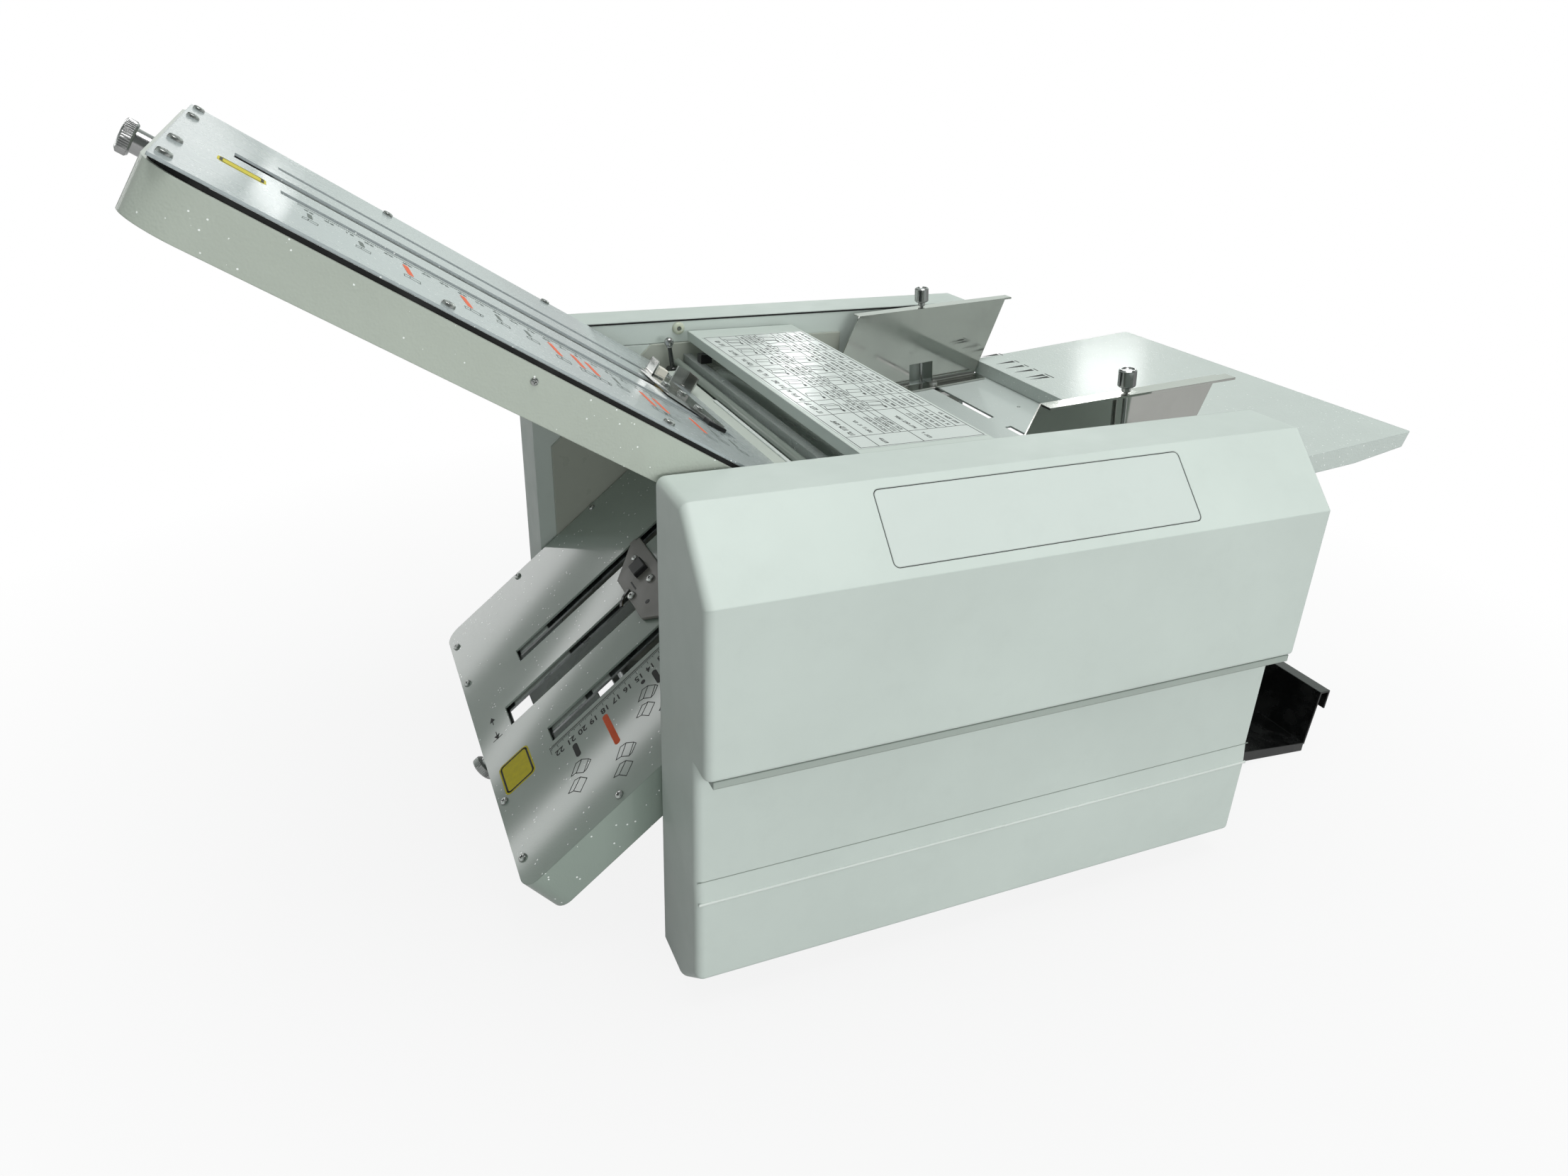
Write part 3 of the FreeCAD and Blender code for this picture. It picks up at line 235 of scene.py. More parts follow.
def moulded(name, colour, roughness, grain=0.20, scale=1500.0, edge=0.0005, **sockets):
    """Plastic, rubber or dark enamel with a fine grain and worn lighter patches."""
    look = Look(name, colour, roughness=roughness, **sockets)
    look.soft_edges(edge)
    worn = look.spread(look.noise(45.0, 4.0, 0.6), 0.45, 0.8)
    paler = (colour[0] * 0.85 + 0.02, colour[1] * 0.85 + 0.02, colour[2] * 0.85 + 0.02, 1.0)
    look.set("Base Color", look.mix(worn, colour, paler))
    look.set("Roughness", look.spread(worn, 0.0, 1.0, roughness, min(roughness + 0.12, 1.0)))
    look.bump(look.noise(scale, 2.0), grain, 0.00010)
    return look.done()


def clear_acrylic(name):
    """Extruded clear acrylic, slightly wavy, with scattered scuffs."""
    look = Look(name, (0.78, 0.83, 0.81, 1.0), roughness=0.06, Transmission_Weight=0.62, IOR=1.49)
    look.soft_edges(0.0010)
    look.bump(look.noise(30.0, 3.0, 0.6, look.stretched(4.0, 1.0, 4.0)), 0.35, 0.0015)
    look.bump(look.noise(420.0, 3.0, 0.6), 0.55, 0.0006)
    scuff = look.spread(look.noise(120.0, 4.0, 0.7), 0.45, 0.75)
    look.set("Roughness", look.spread(scuff, 0.0, 1.0, 0.08, 0.34))
    return look.done()


def ink(name, colour, roughness=0.45):
    """Screen-printed ink, slightly uneven."""
    look = Look(name, colour, roughness=roughness, Specular_IOR_Level=0.22)
    thin = look.spread(look.noise(260.0, 3.0, 0.6), 0.35, 0.75)
    look.set("Base Color", look.mix(look.math("MULTIPLY", thin, 0.35), colour, tint(colour, 1.5)))
    look.bump(look.noise(1400.0, 2.0), 0.10, 0.00004)
    return look.done()


MATERIALS = {
    "cover_paint": enamel("cover_paint", srgb(205, 214, 209), 0.40),
    "panel_paint": enamel("panel_paint", srgb(205, 213, 209), 0.36, mottle=0.02),
    "lid_paint": enamel("lid_paint", srgb(206, 215, 209), 0.33, peel=0.22),
    "casing_paint": powder_coat("casing_paint", srgb(184, 191, 181), 0.42, 0.022, grain=0.30,
                                glint_scale=800.0),
    "upper_paint": powder_coat("upper_paint", srgb(172, 180, 182), 0.26, 0.06, grain=0.60,
                               glint_scale=800.0, glazed=True),
    "lower_paint": powder_coat("lower_paint", srgb(146, 159, 150), 0.36, 0.05, grain=0.12,
                               coat=1.0, blur=0.07, glint_scale=600.0, glazed=True),
    "table_paint": powder_coat("table_paint", srgb(203, 211, 207), 0.34, 0.06, grain=0.45,
                               coat=0.5, blur=0.14, glint_scale=800.0),
    "front_table_paint": powder_coat("front_table_paint", srgb(206, 214, 211), 0.40, 0.02,
                                     grain=0.15),
    "frame_enamel": enamel("frame_enamel", srgb(176, 180, 170), 0.30),
    "tray_enamel": moulded("tray_enamel", srgb(11, 12, 12), 0.24, grain=0.12, scale=1100.0,
                           edge=0.0014, Coat_Weight=0.5),
    "rail_enamel": moulded("rail_enamel", srgb(40, 44, 41), 0.24, grain=0.08, Coat_Weight=0.4),
    "stop_paint": enamel("stop_paint", srgb(120, 118, 113), 0.34),
    "zinc": spangled("zinc", (0.60, 0.62, 0.62, 1.0), 0.34),
    "steel": sheet_metal("steel", (0.60, 0.61, 0.61, 1.0), 0.26, 1),
    "ground_steel": sheet_metal("ground_steel", (0.52, 0.53, 0.52, 1.0), 0.20, 1, streak=0.15),
    "stainless": sheet_metal("stainless", (0.60, 0.60, 0.58, 1.0), 0.09, 0, streak=0.06,
                             smudge=0.10),
    "guide_steel": sheet_metal("guide_steel", (0.60, 0.60, 0.57, 1.0), 0.05, 0, streak=0.05,
                               smudge=0.16),
    "clip_steel": sheet_metal("clip_steel", (0.72, 0.72, 0.70, 1.0), 0.30, 2, streak=0.05),
    "rail_paint": enamel("rail_paint", srgb(138, 147, 139), 0.16, peel=0.25),
    "lip_paint": enamel("lip_paint", srgb(206, 213, 205), 0.45, peel=0.30),
    # Near-white for the roller felt, and painted light: the ridge highlights on the covers and the
    # lit strips seen through the lower plate's slots.
    "felt_white_and_painted_light": enamel("felt_white_and_painted_light", srgb(232, 238, 234), 0.30),
    # Grey for the shade painted under the bulge and in the grooves of the covers.
    "shade_grey": enamel("shade_grey", srgb(168, 177, 171), 0.50),
    "chrome": sheet_metal("chrome", (0.50, 0.50, 0.50, 1.0), 0.18, 2, streak=0.05, smudge=0.06),
    "screw_steel": sheet_metal("screw_steel", (0.50, 0.51, 0.50, 1.0), 0.18, 2, streak=0.05),
    "gear_steel": sheet_metal("gear_steel", (0.42, 0.42, 0.42, 1.0), 0.35, 1),
    "brass": sheet_metal("brass", (0.70, 0.52, 0.22, 1.0), 0.30, 0),
    "feed_rubber": moulded("feed_rubber", srgb(46, 46, 48), 0.70, grain=0.35, scale=900.0),
    # Black rubber for the feet, also used for the strips painted as shadow gaps and groove shade.
    "rubber_black_and_shadow": moulded("rubber_black_and_shadow", srgb(24, 24, 25), 0.75, grain=0.30, scale=900.0),
    "cork": moulded("cork", srgb(150, 112, 74), 0.85, grain=0.60, scale=500.0),
    "nylon": moulded("nylon", srgb(222, 219, 208), 0.45, grain=0.08),
    "black_plastic": moulded("black_plastic", srgb(26, 27, 28), 0.42),
    "cream_plastic": moulded("cream_plastic", srgb(206, 205, 186), 0.35, grain=0.06,
                             Subsurface_Weight=0.15),
    "motor_paint": enamel("motor_paint", srgb(58, 60, 62), 0.45),
    "acrylic": clear_acrylic("acrylic"),
    "label_film": enamel("label_film", srgb(212, 218, 215), 0.17, mottle=0.01, peel=0.55,
                         edge=0.0001),
    "black_ink": ink("black_ink", srgb(16, 17, 17)),
    "grey_ink": ink("grey_ink", srgb(96, 104, 100)),
    "orange_ink": ink("orange_ink", srgb(226, 84, 22)),
    "yellow_ink": ink("yellow_ink", srgb(206, 190, 8)),
}

NODE_MATERIALS = {
    "base_plate": "zinc", "feet": "rubber_black_and_shadow", "side_frame_front": "frame_enamel",
    "side_frame_rear": "frame_enamel", "tie_rods": "zinc", "front_cover": "cover_paint",
    "rear_cover": "cover_paint", "cover_panel": "panel_paint", "power_inlet": "black_plastic",
    "switch_housing": "black_plastic", "rocker": "black_plastic",
    "feed_table_front": "front_table_paint", "feed_table_rear": "table_paint",
    "table_rails": "rail_enamel", "front_guide": "guide_steel", "rear_guide": "guide_steel",
    "front_guide_shoe": "clip_steel", "rear_guide_shoe": "clip_steel",
    "front_thumb_screw": "chrome", "rear_thumb_screw": "chrome",
    "feed_shaft": "ground_steel", "feed_tyres": "feed_rubber", "feed_gear": "nylon",
    "idler_gear": "nylon", "fold_roller_1": "ground_steel", "fold_roller_2": "ground_steel",
    "fold_roller_3": "ground_steel", "fold_roller_4": "ground_steel", "fold_gear_1": "gear_steel",
    "fold_gear_2": "gear_steel", "fold_gear_3": "gear_steel", "fold_gear_4": "gear_steel",
    "motor": "motor_paint", "motor_pinion": "gear_steel", "motor_bracket": "zinc",
    "infeed_guide": "steel", "separator_pad": "cork", "chart_cover": "lid_paint",
    "chart_hinge_pins": "steel", "clear_guard": "acrylic", "guard_bar": "rail_paint",
    "upper_plate_top": "upper_paint", "upper_plate_bottom": "zinc", "upper_casing": "casing_paint",
    "upper_lead_screw": "steel", "upper_knob": "chrome", "upper_carriage": "stainless",
    "upper_nut": "brass", "lower_plate_top": "lower_paint", "lower_plate_bottom": "zinc",
    "lower_lead_screw": "steel", "lower_knob": "chrome", "lower_carriage": "stop_paint",
    "lower_nut": "brass", "release_lever": "black_plastic", "bumper": "cream_plastic",
    "exit_chute": "zinc", "exit_tray": "tray_enamel",
}

for node_name, material_name in NODE_MATERIALS.items():
    node_mesh = frame["nodes"][node_name].data
    node_mesh.materials.clear()
    node_mesh.materials.append(MATERIALS[material_name])


# ---------------------------------------------------------------- mesh helpers

def add_piece(name, bm, body, material, place=MACHINE, sharp=32.0):
    """Turns a mesh drawn in millimetres into an object that rides on a body."""
    bm.transform(place)
    bmesh.ops.recalc_face_normals(bm, faces=bm.faces[:])
    mesh = bpy.data.meshes.new(name)
    bm.to_mesh(mesh)
    bm.free()
    mesh.materials.append(MATERIALS[material])
    mesh.shade_smooth()
    mesh.set_sharp_from_angle(angle=math.radians(sharp))
    piece = bpy.data.objects.new(name, mesh)
    SCENE.collection.objects.link(piece)
    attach(piece, body)
    return piece


AXES = {
    "x": (Vector((1, 0, 0)), Vector((0, 1, 0)), Vector((0, 0, 1))),
    "y": (Vector((0, 1, 0)), Vector((0, 0, 1)), Vector((1, 0, 0))),
    "z": (Vector((0, 0, 1)), Vector((1, 0, 0)), Vector((0, 1, 0))),
}


def band(bm, low, high):
    """Closed strip of faces between two rings of vertices."""
    count = len(low)
    for i in range(count):
        j = (i + 1) % count
        bm.faces.new((low[i], low[j], high[j], high[i]))


def skin(bm, rings):
    """Closed solid through a stack of rings."""
    for low, high in zip(rings, rings[1:]):
        band(bm, low, high)
    bm.faces.new(rings[0][::-1])
    bm.faces.new(rings[-1])


def lathe(bm, centre, axis, profile, segments=40, ridge=None):
    """Closed turned solid. The profile lists (distance along the axis, radius), both ends on the
    axis; ridge(step, number) gives a change of radius for knurling."""
    along, side, other = AXES[axis]
    centre = Vector(centre)
    rings = []
    for number, (distance, radius) in enumerate(profile):
        middle = centre + along * distance
        if radius <= 0:
            rings.append([bm.verts.new(middle)])
            continue
        ring = []
        for step in range(segments):
            angle = 2 * math.pi * step / segments
            reach = radius + (ridge(step, number) if ridge else 0.0)
            across, up = reach * math.cos(angle), reach * math.sin(angle)
            ring.append(bm.verts.new(middle + side * across + other * up))
        rings.append(ring)
    for low, high in zip(rings, rings[1:]):
        for step in range(segments):
            after = (step + 1) % segments
            if len(low) == 1 and len(high) == 1:
                continue
            if len(low) == 1:
                bm.faces.new((low[0], high[after], high[step]))
            elif len(high) == 1:
                bm.faces.new((low[step], low[after], high[0]))
            else:
                bm.faces.new((low[step], low[after], high[after], high[step]))


def slab(bm, x0, x1, y0, y1, z0, z1, chamfer=0.0):
    """Rectangular plate, with its upper edges chamfered if asked."""
    c = chamfer
    levels = [(z0, 0.0), (z1 - c, 0.0), (z1, c)] if c else [(z0, 0.0), (z1, 0.0)]
    rings = []
    for z, inset in levels:
        corners = ((x0 + inset, y0 + inset), (x1 - inset, y0 + inset),
                   (x1 - inset, y1 - inset), (x0 + inset, y1 - inset))
        rings.append([bm.verts.new((x, y, z)) for x, y in corners])
    skin(bm, rings)


def plate(bm, outline, z0=PRINT_LOW, z1=PRINT_HIGH):
    """Plate with any outline in the XY plane; without heights it is a film of ink."""
    skin(bm, [[bm.verts.new((x, y, z)) for x, y in outline] for z in (z0, z1)])


def stroke(bm, start, end, width, z0=PRINT_LOW, z1=PRINT_HIGH):
    """Straight line between two points, with square ends."""
    a, b = Vector(start), Vector(end)
    run = (b - a).normalized()
    side = Vector((-run.y, run.x)) * width / 2
    run = run * width / 2
    corners = (a - run - side, b + run - side, b + run + side, a - run + side)
    plate(bm, [tuple(corner) for corner in corners], z0, z1)


def polyline(bm, points, width, z0, z1, closed=False):
    ends = points[1:] + points[:1] if closed else points[1:]
    for start, end in zip(points, ends):
        stroke(bm, start, end, width, z0, z1)


def pill(bm, start, end, width, z0=PRINT_LOW, z1=PRINT_HIGH, steps=8):
    """Bar with round ends."""
    a, b = Vector(start), Vector(end)
    heading = math.atan2((b - a).y, (b - a).x)
    outline = []
    for centre, first in ((b, -90), (a, 90)):
        for i in range(steps + 1):
            angle = heading + math.radians(first + 180.0 * i / steps)
            outline.append((centre.x + math.cos(angle) * width / 2,
                            centre.y + math.sin(angle) * width / 2))
    plate(bm, outline, z0, z1)


def rounded_outline(x0, x1, y0, y1, radius, steps=6):
    """Corner-rounded rectangle as a list of points."""
    points = []
    for x, y, first in ((x1 - radius, y1 - radius, 0), (x0 + radius, y1 - radius, 90),
                        (x0 + radius, y0 + radius, 180), (x1 - radius, y0 + radius, 270)):
        for i in range(steps + 1):
            angle = math.radians(first + 90.0 * i / steps)
            points.append((x + radius * math.cos(angle), y + radius * math.sin(angle)))
    return points


def numerals(bm, text, at, size, baseline, z):
    """Digits centred on a point, read along the baseline's direction."""
    curve = bpy.data.curves.new("digits", "FONT")
    curve.body = text
    curve.size = size
    curve.extrude = 0.04
    curve.offset = size * 0.018
    curve.align_x = "CENTER"
    curve.align_y = "CENTER"
    writer = bpy.data.objects.new("digits", curve)
    SCENE.collection.objects.link(writer)
    bpy.context.view_layer.update()
    evaluated = writer.evaluated_get(bpy.context.evaluated_depsgraph_get())
    mesh = bpy.data.meshes.new_from_object(evaluated)
    turn = Matrix.Rotation(math.atan2(baseline[1], baseline[0]), 4, "Z")
    mesh.transform(Matrix.Translation((at[0], at[1], z)) @ turn)
    bm.from_mesh(mesh)
    bpy.data.objects.remove(writer)
    bpy.data.meshes.remove(mesh)
    bpy.data.curves.remove(curve)


SCREW_DOME = ((1.0, 0.0), (1.0, 0.35), (0.92, 0.72), (0.74, 0.93), (0.60, 1.0))
SCREW_SEGMENTS = 24


def pan_screw(bm, x, y, z, radius, height, turn=0.3):
    """Domed screw head with a cross recess, on a surface that faces +Z."""
    segments = SCREW_SEGMENTS
    arm, half = radius * 0.50, radius * 0.13
    rings = []
    for share, rise in SCREW_DOME:
        ring = []
        for i in range(segments):
            angle = 2 * math.pi * i / segments
            ring.append(bm.verts.new((x + radius * share * math.cos(angle),
                                      y + radius * share * math.sin(angle), z + height * rise)))
        rings.append(ring)
    for low, high in zip(rings, rings[1:]):
        band(bm, low, high)
    bm.faces.new(rings[0][::-1])
    cross = []
    for quarter in range(4):
        angle = turn + quarter * math.pi / 2
        ax, ay = math.cos(angle), math.sin(angle)
        for along, across in ((arm, -half), (arm, half), (half, half)):
            cross.append((x + ax * along - ay * across, y + ay * along + ax * across))
    top = [bm.verts.new((px, py, z + height)) for px, py in cross]
    pit = [bm.verts.new((x + (px - x) * 0.8, y + (py - y) * 0.8, z + height * 0.25))
           for px, py in cross]
    edges = []
    corners = len(cross)
    for i in range(corners):
        j = (i + 1) % corners
        edges.append(bm.edges.new((top[i], top[j])))
        bm.faces.new((top[j], top[i], pit[i], pit[j]))
    bm.faces.new(pit)
    rim = rings[-1]
    outer = [bm.edges.get((rim[i], rim[(i + 1) % segments])) for i in range(segments)]
    bmesh.ops.triangle_fill(bm, use_beauty=True, edges=edges + outer)


def screws(name, places, place, radius, height):
    """Screws of one size on the chassis, each turned a little further than the last."""
    bm = bmesh.new()
    for number, (x, y, z) in enumerate(places):
        pan_screw(bm, x, y, z, radius, height, turn=0.3 + 0.7 * number)
    add_piece(name, bm, "chassis", "screw_steel", place)



# ---------------------------------------------------------------- knobs and thumb screws

def straight_knurl(depth, first, last):
    """Fine straight ridges on the rings from first to last of a profile."""
    def ridge(step, number):
        return -depth if first <= number <= last and step % 2 else 0.0
    return ridge


def plate_knob(name, face, place, body, node):
    """Knurled knob on a plain sleeve; face is the knob's inner face from the plate's datum."""
    radius, width = 9.2, 6.5
    profile = [(8.4, 0), (8.4, 5.6), (8.0, 6.5), (0.0, 6.5), (0.0, radius - 1.2),
               (-0.9, radius - 0.3), (-1.2, radius), (1.2 - width, radius),
               (0.8 - width, radius - 0.4), (0.1 - width, radius - 1.7), (-width, radius - 2.1),
               (-width, radius * 0.44), (0.5 - width, radius * 0.40), (0.5 - width, 0)]
    bm = bmesh.new()
    lathe(bm, (-face, 0, SCREW_Z), "x", profile, 88, straight_knurl(0.50, 6, 7))
    piece = add_piece(name, bm, body, "chrome", place, sharp=24.0)
    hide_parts(node)


plate_knob("upper_knurled_knob", 407.7, UPPER, "upper_screw", "upper_knob")
plate_knob("lower_knurled_knob", 283.0, LOWER, "lower_screw", "lower_knob")


def thumb_screw(name, y, body, node):
    """Tall diamond-knurled head on a thin shank that reaches down to the table."""
    x, radius, low, high = -54.4, 5.9, 60.0, 71.8
    rows = 13
    profile = [(-11.6, 0), (-11.6, 1.1), (-11.2, 1.5), (56.6, 1.5), (56.6, 2.7), (57.0, 3.0),
               (59.6, 3.0), (low, 3.0), (low, radius - 1.0), (low + 0.8, radius - 0.1)]
    first = len(profile)
    for row in range(rows):
        profile.append((low + 1.1 + (high - low - 2.2) * row / (rows - 1), radius))
    last = len(profile) - 1
    profile += [(high - 0.7, radius - 0.1), (high, radius - 0.9), (high, radius - 1.6),
                (high - 0.7, radius - 2.2), (high - 0.7, 0)]

    def diamonds(step, number):
        if not first <= number <= last:
            return 0.0
        return -0.42 if (step + number) % 2 else 0.0

    bm = bmesh.new()
    lathe(bm, (x, y, 0), "z", profile, 52, diamonds)
    piece = add_piece(name, bm, body, "chrome", TABLE, sharp=20.0)
    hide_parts(node)


thumb_screw("front_knurled_screw", -116.5, "front_clamp", "front_thumb_screw")
thumb_screw("rear_knurled_screw", 156.0, "rear_clamp", "rear_thumb_screw")


# ---------------------------------------------------------------- painted shade lines and highlight strips

def side_bar(bm, side, inner, outer, half, z0, z1, chamfer=0.0):
    """Level bar beside one cover, between two distances from the centre plane."""
    y0, y1 = sorted((side * inner, side * outer))
    slab(bm, -half, half, y0, y1, z0, z1, chamfer)


def shade_and_highlight_strips():
    """Painted shade and highlights: a black line in the groove around the front cover's panel,
    black strips for the shadow gaps at the covers' inner top edges, a grey band for the shade
    under the bulge, grey lines for the shade in the grooves above the ridges, pale strips for
    the highlights on the ridges, and a black strip for the shadow gap under the upper fold plate's
    rim."""
    bm = bmesh.new()
    # Black line painted in the groove around the panel as the groove's shade.
    outline = rounded_outline(-98.45, 98.45, -48.75, -5.65, 3.3)
    polyline(bm, outline, 0.42, -0.79, -0.30, closed=True)
    add_piece("panel_gap_shade", bm, "chassis", "rubber_black_and_shadow", FRONT_SHOULDER)
    bm = bmesh.new()
    # Black strips painted as the shadow gap at each cover's inner top edge.
    for side in (-1, 1):
        side_bar(bm, side, 168.25, 168.75, 192.0, 308.6, 309.9)
    add_piece("cover_edge_shadow_strips", bm, "chassis", "rubber_black_and_shadow")
    bm = bmesh.new()
    highlight_strips = bmesh.new()
    # Grey band painted as the shade under the front cover's bulge.
    slab(bm, -194.0, 194.0, -244.3, -229.0, 167.1, 171.5)
    for side, highlight_edge in ((-1, 231.0), (1, 230.45)):
        # Thin grey lines painted as the shade in the groove above each ridge.
        side_bar(bm, side, 228.2, 228.75, 197.6, 93.4, 93.75)
        # Pale strips painted as the highlight along each ridge.
        side_bar(highlight_strips, side, 229.9, highlight_edge, 197.2, 78.7, 80.3, 0.25)
    add_piece("cover_shade_lines", bm, "chassis", "shade_grey")
    add_piece("cover_ridge_highlights", highlight_strips, "chassis", "felt_white_and_painted_light")
    bm = bmesh.new()
    outer = rounded_outline(-395.3, 0.0, -161.8, 161.8, 21.8)
    arc = [point for point in outer if point[0] < -300.0]
    inset = 0.8
    path = [(x + inset, y - math.copysign(inset, y)) for x, y in arc]
    # Black strip painted as the shadow gap under the upper fold plate's rim.
    polyline(bm, [(-62.0, 161.0)] + path + [(-62.0, -161.0)], 1.5, -9.0, -1.62)
    add_piece("upper_rim_shadow_strip", bm, "chassis", "rubber_black_and_shadow", UPPER)


shade_and_highlight_strips()


def roller_lip():
    """Pale sheet edge between the upper fold plate and the guard, its felt bead and end block, and
    the plate that closes the rear cover's inner wall beside the lever."""
    bm = bmesh.new()
    slab(bm, -95.2, -83.4, -166.0, 148.0, 273.4, 274.6, 0.4)
    add_piece("roller_lip", bm, "chassis", "lip_paint")
    bm = bmesh.new()
    slab(bm, -86.2, -83.3, -166.0, 60.0, 274.65, 275.6, 0.5)
    add_piece("roller_felt", bm, "chassis", "felt_white_and_painted_light")
    bm = bmesh.new()
    slab(bm, -71.0, -62.0, 130.0, 139.0, 283.3, 290.0, 0.6)
    add_piece("guard_end_block", bm, "chassis", "black_plastic")
    bm = bmesh.new()
    slab(bm, -150.0, -92.0, 168.25, 168.65, 256.0, 291.7)
    add_piece("rear_inner_panel", bm, "chassis", "cover_paint")


roller_lip()


# ---------------------------------------------------------------- lever and bumper

def release_lever():
    """Leaning oval arm on a hub and shaft, with a ball at its tip."""
    x, y, z = -86.0, 155.0, 271.0
    lean = 3.3
    segments = 16
    bm = bmesh.new()
    rings = []
    stations = ((0.0, 2.0, 1.9), (4.0, 2.0, 1.9), (8.0, 1.9, 1.8), (14.0, 1.8, 1.7),
                (19.5, 1.7, 1.6), (21.5, 1.6, 1.4))
    for rise, half, thick in stations:
        middle = Vector((x - lean * rise / 25.0, y, z + rise))
        ring = []
        for i in range(segments):
            angle = 2 * math.pi * i / segments
            offset = Vector((half * math.cos(angle), thick * math.sin(angle), 0))
            ring.append(bm.verts.new(middle + offset))
        rings.append(ring)
    skin(bm, rings)
    lathe(bm, (x, 152.5, z), "y", [(0, 0), (0, 3.8), (0.6, 4.5), (4.4, 4.5), (5.0, 3.8),
                                   (5.0, 3.0), (15.5, 3.0), (15.5, 0)], 32)
    piece = add_piece("lever_arm", bm, "lever", "rail_enamel")
    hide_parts("release_lever")
    bm = bmesh.new()
    ball = Matrix.Translation((x - lean, y, z + 24.9))
    bmesh.ops.create_uvsphere(bm, u_segments=28, v_segments=18, radius=3.8, matrix=ball)
    lathe(bm, (x - 2.85, y, z + 21.2), "z", [(-0.6, 0), (-0.6, 2.3), (0.0, 2.6), (1.2, 2.4),
                                             (1.6, 1.4), (1.6, 0)], 28)
    add_piece("lever_ball", bm, "lever", "chrome")


release_lever()


def bumper():
    """Cream foot held by a rivet on the rear cover's inner wall."""
    x, z = -77.1, 303.2
    wall = 168.7
    bm = bmesh.new()
    lathe(bm, (x, wall, z), "y", [(0, 0), (0, 5.0), (-1.0, 5.0), (-1.9, 4.6), (-2.6, 3.7),
                                  (-2.9, 2.4), (-2.9, 1.9), (-1.4, 1.7), (-1.4, 0)], 40)
    piece = add_piece("bumper_foot", bm, "chassis", "cream_plastic")
    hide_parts("bumper")
    bm = bmesh.new()
    rivet = [(-1.4, 0), (-1.4, 1.6), (-2.3, 1.6), (-2.6, 1.2), (-2.6, 0)]
    lathe(bm, (x, wall, z), "y", rivet, 24)
    add_piece("bumper_rivet", bm, "chassis", "screw_steel")


bumper()


# ---------------------------------------------------------------- upper fold plate

screws("upper_plate_screws",
       [(-390.5, 144, 0), (-390.5, -144, 0), (-390.5, 76, 0), (-390.5, -76, 0),
        (-268.7, -149, 0), (-146.9, -152, 0), (-268.7, 149, 0), (-146.9, 152, 0)],
       UPPER, 3.4, 2.0)


def folded_sheet_icon(bm, x, y, size, panels, turn, width=0.35, z0=PRINT_LOW, z1=PRINT_HIGH):
    """Outline of an open sheet with one or more folds, drawn in thin lines."""
    shapes = [[(-0.50, -0.42), (0.12, -0.55), (0.24, 0.38), (-0.40, 0.50)]]
    if panels > 1:
        shapes.append([(0.12, -0.55), (0.52, -0.36), (0.60, 0.52), (0.24, 0.38)])
    if panels > 2:
        shapes.append([(-0.50, -0.42), (-0.72, -0.30), (-0.58, 0.30), (-0.40, 0.50)])
    cos, sin = math.cos(turn), math.sin(turn)
    for shape in shapes:
        points = [(x + size * (px * cos - py * sin), y + size * (px * sin + py * cos))
                  for px, py in shape]
        polyline(bm, points, width, z0, z1, closed=True)


def sticker(prefix, place, x0, x1, y0, y1):
    """Plain yellow sticker with a thin dark border and nothing on it."""
    bm = bmesh.new()
    plate(bm, rounded_outline(x0, x1, y0, y1, 4.0))
    add_piece(prefix + "_sticker", bm, "chassis", "yellow_ink", place)
    bm = bmesh.new()
    inset = 1.8
    border = rounded_outline(x0 + inset, x1 - inset, y0 + inset, y1 - inset, 2.8)
    polyline(bm, border, 1.4, 0.095, 0.13, closed=True)
    add_piece(prefix + "_sticker_border", bm, "chassis", "black_ink", place)


def tick_length(tick, long, middle, short):
    """Length of a scale mark: long each 10 mm, middle each 5 mm."""
    return long if tick % 10 == 0 else middle if tick % 5 == 0 else short


def upper_prints():
    """Scale in centimetres with size bars and sheet drawings beside the upper plate's slot."""
    line = -66.5
    orange = bmesh.new()
    dark = bmesh.new()
    for t in (282, 251, 200, 186, 177, 141, 132, 106):
        pill(orange, (-t, -84), (-t, -110), 3.0)
        folded_sheet_icon(dark, -t, -120, 8.0, 2 + t % 2, turn=math.pi)
    for t in (330, 305, 232, 215, 160, 92, 78):
        pill(dark, (-t, -86), (-t, -98), 2.4)
        folded_sheet_icon(dark, -t, -108, 7.0, 2, turn=math.pi)
    add_piece("upper_plate_marks", orange, "chassis", "orange_ink", UPPER)
    stroke(dark, (-70, line), (-335, line), 0.3)
    for tick in range(70, 336):
        length = tick_length(tick, 5.0, 3.4, 2.2)
        stroke(dark, (-tick, line), (-tick, line - length), 0.22)
        if tick % 10 == 0:
            numerals(dark, str(tick // 10), (-tick, -76.0), 5.0, (-1, 0), 0.05)
    add_piece("upper_plate_scale", dark, "chassis", "grey_ink", UPPER)
    sticker("upper_plate", UPPER, -373, -350, -62, -42)


upper_prints()


# ---------------------------------------------------------------- lower fold plate

screws("lower_plate_screws",
       [(-268, 137.5, 0), (-268, -137.5, 0), (-268.5, 78, 0), (-268.5, -78, 0),
        (-195.6, 157.3, 0), (-112.4, 157.5, 0), (-195.6, -157.3, 0), (-112.4, -157.3, 0)],
       LOWER, 2.9, 1.7)


